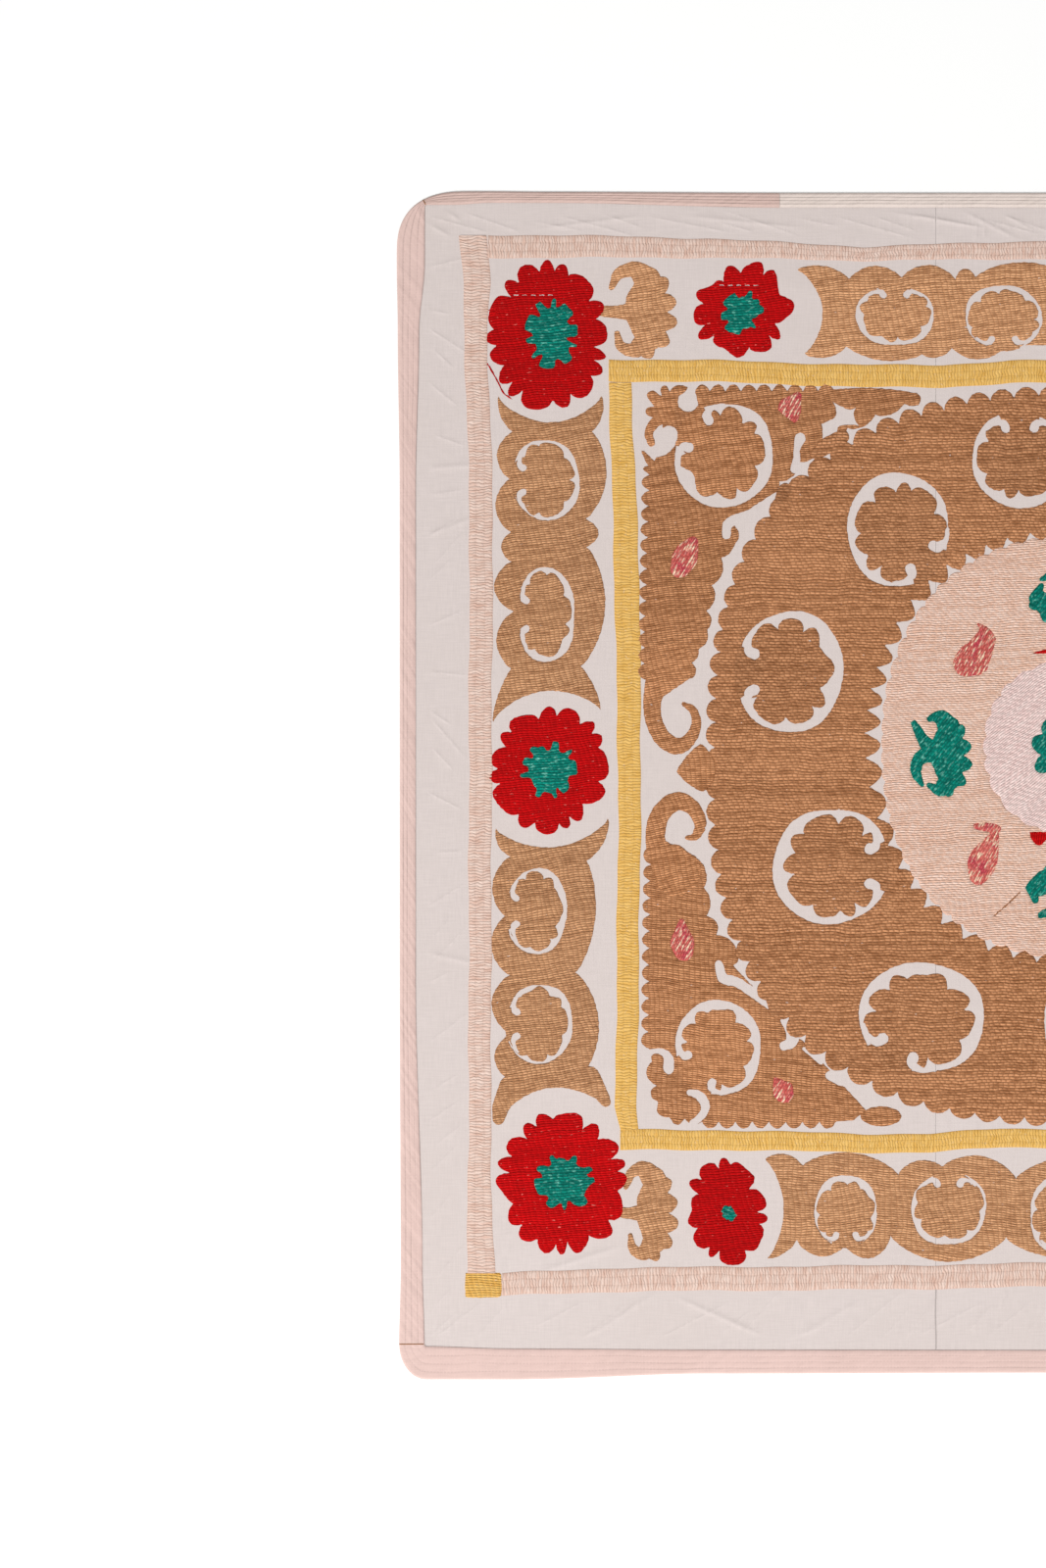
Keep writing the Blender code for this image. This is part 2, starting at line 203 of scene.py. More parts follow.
YELLOW_BOTTOM = [BandPoint(-551, -434, 25), BandPoint(-428, -433.8, 24), BandPoint(-254, -438, 22.7),
                 BandPoint(-170, -437.6, 22.7), BandPoint(-86, -431.6, 22.8), BandPoint(86, -432, 22.8),
                 BandPoint(240, -437, 23), BandPoint(551, -434, 25)]
BAND_SECTION = [0.0, 0.05, 0.2, 0.32, 0.44, 0.56, 0.68, 0.8, 0.95, 1.0]
BAND_COUCHING = (0.32, 0.68)   # the two couching threads, across a band
BAND_DIP = 0.00005             # how far a couching thread pulls the ladder down
RUNG_DEPTH = 0.00022           # the dip between two rungs of the ladder
BAND_WANDER = ((0.0008, 31), (0.0005, 83))    # how far a band sways, and at how many radians a metre

# Embroidery
RIM_HEIGHT = 0.00015           # the thread stands this high along a motif's edge
SEAT_DEPTH = 0.0003            # and reaches this far into the cloth
RIM_STEEPNESS = 0.0015         # the thread's full height starts this far inside an edge
RELIEF_UNEVEN = 0.00012
RELIEF_WAVES = (310, 150, 420)    # its waves across, their bend, and its waves up, in radians a metre
FRAY = 0.00045                 # how unevenly the stitches end along an edge
FRAY_SEED = 7
SEWN_REACH = (0.75, 0.64)      # half the size of the sewn area
ROW_SHARE = 0.866              # height of an equal-sided triangle over its side
LINE_STEPS = 10                # points on a smooth line for each point given
ELLIPSE_POINTS = 720
LOBE_ROUNDING = 0.7            # under 1, so that the lobes are round and their notches narrow
LOT_STEP = 0.618               # spreads the dye lots over the motifs

# Finishes
THREAD_BUMP = 0.0012           # depth of the dips between two laid rows
LADDER_BUMP = 0.0006           # and between two rungs
COTTON_BUMP = 0.00018          # and between two threads of the weave
SPECULAR = 0.12
AGED = (0.93, 0.915, 0.88)     # yellowed and greyed cotton, as shares of its colour
SEAM_SHADE = (0.66, 0.66, 0.66)           # a panel seam, as shares of the ground's colour
CORNER_SEAM_SHADE = (0.42, 0.42, 0.42)    # a binding seam, as shares of the brown thread's
SMOOTH_ANGLE = 50              # degrees between two faces, above which their edge stays sharp

# Camera, over the part of the cloth that the photograph shows
VIEW_X, VIEW_Y = -0.670, 0.0018
VIEW_TALL = 1.92
CAMERA_HEIGHT = 6.0
SENSOR = 36.0

# Floor and lights
FLOOR_SIZE = 14.0
WORLD_LIGHT = 0.56
SUN_POWER = 1.6
SUN_SPREAD = 12                # degrees
SUN_TURN = (56, 0, -35)        # degrees
BOX_POWER = 105.0
BOX_SIZE = 1.4
BOX_PLACE = (-1.97, -3.6, 3.2)
BOX_AIM = (-0.3, 0.0, 0.0)


def srgb(red, green, blue):
    """A colour given as 0 to 255, as Blender's linear colour."""
    made = []
    for part in (red, green, blue):
        share = part / 255
        made.append(share / 12.92 if share <= 0.04045 else ((share + 0.055) / 1.055) ** 2.4)
    return tuple(made)


def length_property(name, description, default):
    return FloatProperty(name=name, description=description, default=default, min=0.0, unit="LENGTH",
                         precision=5)


def colour_property(name, description, default):
    return FloatVectorProperty(name=name, description=description, default=default, size=3,
                               subtype="COLOR", min=0.0, max=1.0)


class SuzaniSizes(bpy.types.PropertyGroup):
    ground_cell: length_property("Ground cell", "Spacing of the ground's points", 0.0065)
    outline_step: length_property("Outline step", "Spacing of the points along a motif's edge", 0.0032)
    stitch_cell: length_property("Stitch cell", "Spacing of the points inside a motif", 0.0066)
    relief: length_property("Relief", "How far the embroidery stands above the cloth", 0.00075)
    band_relief: length_property("Band relief", "How far the ladder bands stand above the cloth", 0.0008)
    rung_pitch: length_property("Rung pitch", "Distance between two rungs of a ladder band", 0.0036)
    row_pitch: length_property("Row pitch", "Distance between two laid rows of thread", 0.0036)
    weave_pitch: length_property("Weave pitch", "Distance between two threads of the ground", 0.0008)
    stitch_length: length_property("Stitch length", "Running stitch of the binding's tucks", 0.0042)


class SuzaniColours(bpy.types.PropertyGroup):
    ground: colour_property("Ground", "Undyed cotton", srgb(216, 204, 200))
    pink_cotton: colour_property("Pink cotton", "Binding", srgb(222, 193, 185))
    rose_cotton: colour_property("Rose cotton", "Browner binding of the top", srgb(211, 183, 174))
    cream_cotton: colour_property("Cream cotton", "Pieced-in binding", srgb(224, 209, 201))
    pink_thread: colour_property("Pink thread", "Outer ladder band", srgb(227, 202, 189))
    yellow_thread: colour_property("Yellow thread", "Inner ladder band", srgb(231, 187, 108))
    red_thread: colour_property("Red thread", "Flowers", srgb(204, 1, 6))
    green_thread: colour_property("Green thread", "Flower centres and palmettes", srgb(0, 138, 120))
    brown_thread: colour_property("Brown thread", "Field and medallion", srgb(225, 160, 113))
    medallion_thread: colour_property("Medallion thread", "Medallion", srgb(208, 148, 105))
    tan_thread: colour_property("Tan thread", "Border scrolls and leaves", srgb(230, 173, 127))
    disc_thread: colour_property("Disc thread", "Disc in the medallion", srgb(245, 214, 198))
    lilac_thread: colour_property("Lilac thread", "Innermost disc", srgb(238, 215, 209))
    coral_thread: colour_property("Coral thread", "Small paisleys", srgb(218, 118, 108))
    crimson_thread: colour_property("Crimson thread", "Patches of the paisleys", srgb(196, 74, 84))
    straw_thread: colour_property("Straw thread", "Pale stitches of the paisleys", srgb(246, 210, 180))


# Plain geometry


def smooth_step(t):
    t = np.clip(t, 0.0, 1.0)
    return t * t * (3.0 - 2.0 * t)


def side_at(rows, along):
    """How far out a side is at a place along it, and its binding's width, eased from row to row."""
    i = bisect_right([row.along for row in rows], along)
    near, far = rows[max(i - 1, 0)], rows[min(i, len(rows) - 1)]
    share = float(smooth_step((along - near.along) / (far.along - near.along))) if far is not near else 0.0
    return near.out + (far.out - near.out) * share, near.width + (far.width - near.width) * share


def steps_between(start, end, spacing):
    count = max(1, round(abs(end - start) / spacing))
    return [start + (end - start) * i / count for i in range(count + 1)]


def corner_points(corner, centre, from_side):
    """Points round a corner of the left half, from its side end or from its top or bottom end."""
    points = []
    for i in range(1, corner.steps):
        turn = math.pi / 2 * i / corner.steps
        across = corner.across * math.cos(turn) ** (2 / corner.squareness)
        up = corner.up * math.sin(turn) ** (2 / corner.squareness)
        points.append(Vector((centre.x - across, centre.y + math.copysign(up, centre.y))))
    return points if from_side else points[::-1]


def outline():
    """The cloth's edge, clockwise from the middle of its bottom side."""
    low_y, high_y = -BOTTOM_SIDE[-1].out, TOP_SIDE[-1].out
    low_x, high_x = -LEFT_SIDE[0].out, -LEFT_SIDE[-1].out
    low_centre = Vector((low_x + LOWER_CORNER.across, low_y + LOWER_CORNER.up))
    high_centre = Vector((high_x + UPPER_CORNER.across, high_y - UPPER_CORNER.up))
    low_run = steps_between(0, low_centre.x, EDGE_STEP)
    left_run = steps_between(low_centre.y, high_centre.y, EDGE_STEP)
    high_run = steps_between(high_centre.x, 0, EDGE_STEP)
    half = [Vector((x, -side_at(BOTTOM_SIDE, -x)[0])) for x in low_run]
    half += corner_points(LOWER_CORNER, low_centre, from_side=False)
    half += [Vector((-side_at(LEFT_SIDE, y)[0], y)) for y in left_run]
    half += corner_points(UPPER_CORNER, high_centre, from_side=True)
    half += [Vector((x, side_at(TOP_SIDE, -x)[0])) for x in high_run]
    return half + [Vector((-p.x, p.y)) for p in half[-2:0:-1]]


def inner_edge(point):
    """The binding's inner edge opposite a point on the cloth's edge: straight in, and round the corners."""
    left_out, left_width = side_at(LEFT_SIDE, point.y)
    low_out, low_width = side_at(BOTTOM_SIDE, abs(point.x))
    high_out, high_width = side_at(TOP_SIDE, abs(point.x))
    side = left_out - left_width - INNER_CORNER_RADIUS
    low = low_width - low_out + INNER_CORNER_RADIUS
    high = high_out - high_width - INNER_CORNER_RADIUS
    centre = Vector((max(-side, min(side, point.x)), max(low, min(high, point.y))))
    return centre + (point - centre).normalized() * INNER_CORNER_RADIUS


def lap_at(width):
    return min(LAP, LAP_SHARE * width)


class EdgePath:
    """The cloth's closed edge, read by the distance along it."""

    def __init__(self, points):
        self.points = points + points[:1]
        self.lengths = [0.0]
        for a, b in zip(self.points, self.points[1:]):
            self.lengths.append(self.lengths[-1] + (b - a).length)
        self.total = self.lengths[-1]

    def nearest(self, x, y):
        """Distance along the edge to its closest point to x, y."""
        target = Vector((x, y))
        best = (math.inf, 0.0)
        for a, b, start in zip(self.points, self.points[1:], self.lengths):
            run = b - a
            share = min(max((target - a).dot(run) / run.length_squared, 0.0), 1.0)
            best = min(best, ((a + run * share - target).length, start + run.length * share))
        return best[1]

    def at(self, along):
        """Point on the edge, the direction across the binding there, and the binding's width."""
        along %= self.total
        i = min(bisect_right(self.lengths, along), len(self.points) - 1)
        share = (along - self.lengths[i - 1]) / (self.lengths[i] - self.lengths[i - 1])
        point = self.points[i - 1].lerp(self.points[i], share)
        across = inner_edge(point) - point
        return point, across.normalized(), across.length


@lru_cache(maxsize=1)
def edge_path():
    return EdgePath(outline())


def ridges(rows, x, y):
    """Height of soft ridges at arrays of places."""
    rise = np.zeros_like(x)
    for fold in rows:
        slant = math.radians(fold.slant)
        dx, dy = x - fold.x, y - fold.y
        along = dx * math.cos(slant) + dy * math.sin(slant)
        off = dy * math.cos(slant) - dx * math.sin(slant)
        reach = smooth_step(2 - 2 * np.abs(along) / (fold.length / 2))
        rise += fold.height * reach * np.exp(-(off / fold.width) ** 2)
    return rise


@lru_cache(maxsize=1)
def margin_creases():
    """The listed creases, made sharper and longer, and fainter ones between them."""
    rows = [fold._replace(length=fold.length * CREASE_STRETCH, width=fold.width / CREASE_SHARPNESS)
            for fold in CREASES]
    for i in range(SIDE_CREASES):
        y = -0.66 + 0.045 * i + 0.02 * math.sin(5.1 * i)
        x = 0.768 + 0.008 * math.sin(2.3 * i)
        slant = 42 * (1.0 if y < -0.25 else math.cos(0.6 * i)) + 9 * math.sin(7.0 * i)
        length = 0.055 + 0.022 * math.sin(3.3 * i)
        rows.append(Wrinkle(-x, y, length, slant, *FINE_CREASE))
        rows.append(Wrinkle(x, y + 0.02, length, -slant, *FINE_CREASE))
    for i in range(END_CREASES):
        x = -0.75 + 0.055 * i + 0.018 * math.sin(4.3 * i)
        length = 0.085 + 0.035 * math.sin(2.9 * i)
        slant = math.copysign(38 + 12 * math.sin(2.1 * i), -x)
        rows.append(Wrinkle(x, -0.655 + 0.008 * math.sin(3.7 * i), length, slant, *FINE_CREASE))
        rows.append(Wrinkle(x, 0.687 + 0.004 * math.sin(1.9 * i), length, -0.4 * slant, *FINE_CREASE))
    return rows


def crease_points():
    """Points along the margins' creases, close enough to show them."""
    points = []
    for fold in margin_creases():
        slant = math.radians(fold.slant)
        for along in steps_between(-fold.length / 2, fold.length / 2, CREASE_STEP):
            for share in CREASE_SHARES:
                off = share * fold.width
                points.append((fold.x + along * math.cos(slant) - off * math.sin(slant),
                               fold.y + along * math.sin(slant) + off * math.cos(slant)))
    return np.array(points)


def ground_top(x, y):
    """Height of the ground's upper face at arrays of places."""
    to_edge = np.minimum(LEFT_SIDE[2].out - np.abs(x), TOP_SIDE[0].out - np.abs(y))
    fade = smooth_step((to_edge - FLAT_MARGIN) / FADE_LENGTH)
    wave = 2 * math.pi / SWELL_LENGTH
    swell = SWELL_HEIGHT * (0.5 + 0.25 * np.sin(wave * x + 1.7 * np.sin(wave * y * 0.6))
                            + 0.25 * np.cos(wave * y * 1.2 + 1.1 * np.sin(wave * x * 0.7)))
    to_side = LEFT_SIDE[2].out - SIDE_CREASE_MARGIN - np.abs(x)
    to_top = TOP_SIDE[0].out - TOP_CREASE_MARGIN - y
    to_bottom = BOTTOM_SIDE[0].out - BOTTOM_CREASE_MARGIN + y
    crease_fade = smooth_step(np.minimum(np.minimum(to_side, to_top), to_bottom) / CREASE_FADE)
    creases = crease_fade * ridges(margin_creases(), x, y)
    return GROUND_THICKNESS + fade * (swell + ridges(WRINKLES, x, y)) + creases


def resampled(points, step, closed):
    """Points at even spacing along a line; further columns, such as a width, are carried along."""
    points = np.asarray(points, float)
    if closed:
        points = np.vstack([points, points[:1]])
    lengths = np.concatenate([[0.0], np.cumsum(np.hypot(*np.diff(points[:, :2], axis=0).T))])
    count = max(8, round(lengths[-1] / step))
    places = np.linspace(0.0, lengths[-1], count, endpoint=not closed)
    return np.column_stack([np.interp(places, lengths, column) for column in points.T])


def smooth_line(points):
    """A smooth open line through a few points."""
    points = np.asarray(points, float)
    run = np.vstack([2 * points[0] - points[1], points, 2 * points[-1] - points[-2]])
    t = np.linspace(0.0, 1.0, LINE_STEPS, endpoint=False)[:, None]
    made = []
    for a, b, c, d in zip(run, run[1:], run[2:], run[3:]):
        made.append(0.5 * (2 * b + (c - a) * t + (2 * a - 5 * b + 4 * c - d) * t ** 2
                           + (3 * b - a - 3 * c + d) * t ** 3))
    return np.vstack(made + [points[-1:]])


def left_normals(points, closed):
    if closed:
        run = np.roll(points, -1, axis=0) - np.roll(points, 1, axis=0)
    else:
        run = np.gradient(points, axis=0)
    run /= np.maximum(np.hypot(*run.T), 1e-9)[:, None]
    return np.column_stack([-run[:, 1], run[:, 0]])


# Motif shapes: each gives a closed outline in millimetres


def superellipse(x, y, half_wide, half_tall, squareness=2.0):
    turn = np.linspace(0.0, 2 * math.pi, ELLIPSE_POINTS, endpoint=False)
    across = np.sign(np.cos(turn)) * np.abs(np.cos(turn)) ** (2 / squareness)
    up = np.sign(np.sin(turn)) * np.abs(np.sin(turn)) ** (2 / squareness)
    return np.column_stack([x + half_wide * across, y + half_tall * up])


def scalloped(base, lobes, depth, seed=0, uneven=0.12, rounding=0.6, wobble=0.0, square=False):
    """An outline with a given number of lobes. Their tips are on the base, or their notches if depth is
    negative. A rounding under 1 gives round lobes with narrow notches. Square lobes are stubby arms."""
    line = resampled(base, 1.0, closed=True)
    share = np.arange(len(line)) / len(line)
    phase = 1.3 * seed
    ripple = np.sin(2 * math.pi * 3 * share + phase) + 0.7 * np.sin(2 * math.pi * 7 * share + 2.1 * phase)
    count = lobes * share + uneven * ripple + 0.17 * seed
    notch = 1 - np.abs(np.sin(math.pi * count)) ** rounding
    if square:
        notch = smooth_step(0.55 + 1.5 * (np.cos(math.pi * count) ** 2 - 0.5))
    sway = wobble * (np.sin(2 * math.pi * 2 * share + phase)
                     + 0.6 * np.sin(2 * math.pi * 5 * share + 1.7 * phase))
    inward = depth * notch * (1 + 0.15 * ripple) + sway
    return line + left_normals(line, closed=True) * inward[:, None]


def lobes_between(start, end, count, bulge):
    """Rows for lobed_outline: a run of equal lobes, without its last point."""
    rows = []
    for i in range(count):
        share = i / count
        rows.append((start[0] + (end[0] - start[0]) * share, start[1] + (end[1] - start[1]) * share, bulge))
    return rows


def lobed_outline(rows):
    """A clockwise outline through notches. Each row is a notch and how far the lobe after it bulges."""
    made = []
    for (x, y, bulge), (next_x, next_y, _) in zip(rows, rows[1:] + rows[:1]):
        run = np.array([next_x - x, next_y - y], float)
        length = math.hypot(*run)
        t = np.linspace(0.0, 1.0, max(4, round((length + abs(bulge)) / 2.5)), endpoint=False)
        out = np.array([-run[1], run[0]]) / max(length, 1e-6)
        lift = bulge * np.sin(math.pi * t) ** LOBE_ROUNDING
        made.append(np.array([x, y]) + t[:, None] * run + lift[:, None] * out)
    return np.vstack(made)


def mirrored_rows(half, middle_bulge):
    """The whole outline from its left half, which starts and ends beside or on the cloth's middle."""
    rows = half[:-1] + [(half[-1][0], half[-1][1], middle_bulge)]
    back = half[::-1]
    for (x, y, _), (_, _, bulge) in zip(back, back[1:]):
        rows.append((-x, y, bulge))
    rows.append((-back[-1][0], back[-1][1], middle_bulge))
    return rows


def stroke(*rows):
    """A line of changing width with round ends. Each row is a place and the width there."""
    line = resampled(smooth_line(rows), 2.0, closed=False)
    places, half = line[:, :2], line[:, 2] / 2
    normals = left_normals(places, closed=False)
    turn = np.linspace(0.0, math.pi, 7)[1:-1, None]
    caps = []
    for end, forward in ((-1, 1), (0, -1)):
        side = normals[end] * forward
        ahead = np.array([side[1], -side[0]])
        caps.append(places[end] + half[end] * (np.cos(turn) * side + np.sin(turn) * ahead))
    left = places + normals * half[:, None]
    right = places - normals * half[:, None]
    loop = np.vstack([left, caps[0], right[::-1], caps[1]])
    far = np.hypot(*(loop[:, None] - places[None]).transpose(2, 0, 1))
    return loop[(far >= 0.97 * half[None]).all(axis=1)]


RING_PALMETTE = 0.91     # size of the palmette in a ring, as a share of the ring
RING_SHIFT = 0.07        # how far the palmette leans to the ring's opening
RING_NOTCH = 0.20        # depth of its notches
RING_MOUTH = 25          # the bare line stops this many degrees either side of the opening
# The curl at each end of a ring's bare line: radius, degrees from the opening, width
RING_CURL = [(0.965, 48, 0.07), (0.945, 35, 0.10), (0.86, 24, 0.15), (0.74, 24, 0.20)]


def ring_motif(x, y, half_wide, half_tall, opening, spread=1.0, fill=RING_PALMETTE, notch=RING_NOTCH,
               lobes=9, seed=0):
    """A palmette in a bare ring, as outlines of bare cloth (False) and of thread (True)."""
    size = (half_wide + half_tall) / 2
    facing = math.radians(opening)

    def placed(radius, degrees):
        angle = np.radians(np.asarray(degrees) + opening)
        return np.column_stack([x + half_wide * radius * np.cos(angle),
                                y + half_tall * radius * np.sin(angle)])

    bare = scalloped(superellipse(x, y, half_wide, half_tall, 2.2), 1, 0, seed=seed, wobble=0.022 * size)
    middle_x = x + half_wide * RING_SHIFT * math.cos(facing)
    middle_y = y + half_tall * RING_SHIFT * math.sin(facing)
    inner = superellipse(middle_x, middle_y, half_wide * fill, half_tall * fill)
    body = scalloped(inner, lobes, notch * size, seed, uneven=0.18, rounding=0.65)
    mouth = np.linspace(-RING_MOUTH, RING_MOUTH, 9) * spread
    bridge = np.vstack([placed(1.06, mouth), placed(0.5, mouth[::-1])])
    motif = [(False, bare), (True, body), (True, bridge)]
    for way in (1, -1):
        radius, degrees, width = np.array(RING_CURL).T
        path = placed(radius, degrees * way * spread)
        motif.append((False, stroke(*np.column_stack([path, width * size]))))
    return motif


# A palmette over its half width and half height: the notches of its lobed back, then its arms, each by
# place and width
PALMETTE_BACK = [(-0.12, 0.86, 0.16), (0.36, 0.66, 0.25), (0.66, 0.34, 0.25), (0.70, -0.06, 0.27),
                 (0.66, -0.46, 0.25), (0.40, -0.78, 0.22), (0.00, -0.94, 0.06), (-0.08, -0.66, 0),
                 (-0.34, -0.20, 0), (-0.34, 0.24, 0), (-0.12, 0.55, 0)]
FORKED_ARMS = [
    [(-0.16, 0.05, 0.50), (-0.52, 0.24, 0.36), (-0.88, 0.70, 0.17)],
    [(-0.16, 0.00, 0.50), (-0.68, -0.12, 0.38), (-0.82, -0.44, 0.30), (-0.62, -0.76, 0.12)],
    [(0.25, 0.62, 0.60), (-0.02, 0.86, 0.36), (-0.38, 0.80, 0.17)],
    [(0.28, -0.62, 0.60), (-0.02, -0.88, 0.36), (-0.40, -0.76, 0.15)],
]
STEM_ARMS = [
    [(-0.10, -0.05, 0.48), (-0.55, -0.06, 0.30), (-0.98, -0.04, 0.24)],
    [(0.22, 0.62, 0.62), (-0.12, 0.84, 0.38), (-0.52, 0.74, 0.26), (-0.70, 0.46, 0.13)],
    [(0.25, -0.62, 0.60), (-0.10, -0.86, 0.36), (-0.46, -0.78, 0.24), (-0.56, -0.50, 0.12)],
]


def palmette(x, y, half_wide, half_tall, arms, turned=0):
    """A palmette's outlines, its arms to the left, turned counter-clockwise."""
    size = (half_wide + half_tall) / 2
    angle = math.radians(turned)

    def placed(rows):
        made = []
        for across, up, measure in rows:
            dx, dy = across * half_wide, up * half_tall
            made.append((x + dx * math.cos(angle) - dy * math.sin(angle),
                         y + dx * math.sin(angle) + dy * math.cos(angle), measure * size))
        return made

    return [lobed_outline(placed(PALMETTE_BACK))] + [stroke(*placed(arm)) for arm in arms]


# The pattern


class Pattern:
    """Motif outlines in the order in which they cover each other."""

    def __init__(self):
        self.layers = []

    def add(self, thread, line, slant=0.0, both=False, lot=None):
        """Add an outline in a thread, or None for bare cloth, and its twin on the right half if asked. The
        thread's dye lot goes from 0, dark, to 1, light."""
        if lot is None:
            lot = len(self.layers) * LOT_STEP % 1.0
        self.layers.append((thread, np.asarray(line) * MM, math.radians(slant), lot))
        if both:
            twin = np.asarray(line) * np.array([-MM, MM])
            self.layers.append((thread, twin, math.radians(-slant), lot))

    def ring(self, thread, *measures, slant=0.0, both=False, lot=None, **shape):
        for sewn, line in ring_motif(*measures, **shape):
            self.add(thread if sewn else None, line, slant, both, lot)

    def palmette(self, thread, *measures, slant=0.0, both=False, lot=None, **shape):
        for line in palmette(*measures, **shape):
            self.add(thread, line, slant, both, lot)


# Outlines of the two scrolls on the left border, of the half scrolls above and below the field, and of
# the two left spandrels: each row is a notch and the bulge of the lobe after it
UPPER_SCROLL = [(-700, 476, -32), (-574, 477, 7), (-586, 433, 22), (-594, 326, 16), (-593, 292, 27),
                (-600, 146, 5), (-575, 92, -31), (-707, 77, 5), (-684, 143, 20), (-681, 213, 23),
                (-684, 274, 13), (-684, 310, 19), (-686, 375, 18), (-682, 433, 7)]
LOWER_SCROLL = [(-703, -53, -29), (-566, -40, 9), (-593, -92, 18), (-606, -229, 22), (-593, -346, 6),
                (-569, -394, -34), (-701, -415, 6), (-685, -361, 20), (-685, -304, 23), (-686, -232, 20),
                (-692, -160, 19), (-685, -87, 7)]
TOP_SCROLL = [(-79, 539, 16), (-145, 536, 8), (-182, 528, 13), (-274, 538, 10), (-326, 529, -27),
              (-335, 631, 11), (-271, 619, 16), (-207, 621, 17), (-141, 619, 12), (-116, 622, 19),
              (0, 621, 0)]
BOTTOM_SCROLL = [(-79, -553, 31), (-220, -551, 22), (-276, -563, 17), (-335, -556, 6), (-372, -579, -22),
                 (-374, -458, 11), (-328, -466, 22), (-211, -477, 13), (-157, -467, 21), (-67, -482, 0)]
UPPER_SPANDREL = (
    [(-512, 392, 0), (-498, 420, 0), (-500, 462, 0), (-478, 470, 0), (-462, 478, 2)]
    + lobes_between((-460, 482), (-290, 482), 9, 9)
    + [(-290, 484, 4), (-195, 481, 8), (-187, 464, 0), (-300, 400, 0), (-396, 330, 0), (-412, 318, 6),
       (-411, 296, 4), (-428, 279, 8), (-440, 245, 8), (-446, 214, 6), (-445, 190, 6), (-456, 167, 4),
       (-464, 150, 5), (-462, 132, 0), (-500, 118, 0)]
    + lobes_between((-521, 130), (-514, 400), 14, 10)
)
LOWER_SPANDREL = (
    lobes_between((-516, -322), (-513, -76), 12, 10)
    + [(-513, -74, 0), (-480, -72, 0), (-454, -92, 6), (-449, -126, 7), (-446, -160, 8), (-434, -184, 7),
       (-409, -204, 5), (-413, -220, 0), (-330, -310, 0), (-250, -398, 0), (-266, -410, 0)]
    + lobes_between((-287, -411), (-451, -411), 8, 9)
    + [(-451, -411, 6), (-472, -407, 9), (-490, -406, 9), (-504, -387, 9), (-506, -367, 10), (-512, -338, 4),
       (-506, -327, 3)]
)
# Fingers of the spandrels' corners: place and width along each
FINGERS = [
    [(-494, 460, 18), (-512, 477, 13)],
    [(-490, 464, 14), (-497, 485, 10)],
    [(-484, 470, 18), (-483, 481, 15), (-475, 485, 10), (-466, 483, 5)],
    [(-496, 454, 18), (-515, 458, 11)],
    [(-490, 450, 14), (-506, 446, 13), (-516, 433, 11), (-513, 419, 9)],
    [(-510, 390, 12), (-524, 409, 3)],
]

Flower = namedtuple("Flower", "x y half_wide half_tall lobes depth seed")
FLOWERS = [
    Flower(-640, 550, 77, 90, 17, 16, 1), Flower(-401, 582, 63, 58, 10, 15, 2),
    Flower(-638, 20, 72, 80, 15, 14, 3), Flower(-622, -487, 78, 91, 17, 16, 4),
    Flower(-421, -521, 50, 65, 11, 14, 5),
]
Centre = namedtuple("Centre", "x y half_wide half_tall arms depth seed")
FLOWER_CENTRES = [
    Centre(-635, 553, 34, 42, 10, 11, 1), Centre(-402, 579, 27, 27, 6, 8, 2),
    Centre(-638, 19, 34, 37, 9, 10, 3), Centre(-619, -485, 36, 37, 9, 9, 4),
    Centre(-418, -524, 10, 10, 5, 2, 5),
]
Ring = namedtuple("Ring", "x y half_wide half_tall opening")
BORDER_RINGS = [
    Ring(-642, 374, 41, 49, 180), Ring(-642, 209, 36, 57, 180), Ring(-653, -154, 37, 52, 180),
    Ring(-650, -292, 40, 49, 180), Ring(-215, 575, 47, 37, 90), Ring(-82, 573, 47, 39, 270),
    Ring(-275, -521, 39, 43, 270), Ring(-149, -518, 46, 44, 90),
]
SPANDREL_RINGS = [Ring(-424, 404, 59, 64, 142), Ring(-431, -321, 51, 59, 225)]
RING_SPREADS = (1.1, 1.4)         # how much wider the spandrels' rings open
MEDALLION_RINGS = [
    Ring(-62, 398, 58, 58, 90), Ring(-211, 313, 63, 68, 313), Ring(-343, 139, 65, 73, 180),
    Ring(-293, -99, 70, 71, 0), Ring(-182, -284, 75, 68, 235), Ring(29, -293, 62, 62, 90),
    Ring(88, 394, 58, 58, 270), Ring(234, 301, 63, 66, 225), Ring(362, 128, 65, 73, 0),
    Ring(314, -102, 70, 71, 180), Ring(224, -268, 68, 64, 305),
]
# Thick ends of the lower scroll on the left border
TAILS = [
    [(-686, -368, 26), (-697, -394, 21), (-700, -409, 14)],
    [(-590, -358, 30), (-577, -374, 19), (-569, -387, 13)],
]
MIDDLE_RING = Ring(0, -524, 50, 52, 270)
SIDE_LOT, BOTTOM_LOT, TOP_LOT = 0.0, 0.4, 1.0     # dye lots of the border's scrolls
BORDER_RING_SHAPE = {"fill": 0.95, "notch": 0.16, "lobes": 8}
MEDALLION = (10, 36)              # middle of the medallion
MEDALLION_HALF = (459, 453)
INNER_HALF = (240, 255)
INNER_MIDDLE = (10, 47)
DISC_HALF = (242, 260)
LILAC_HALF = (117, 109)
HALO = -2                         # bare cloth between the medallion and the spandrels' lobes

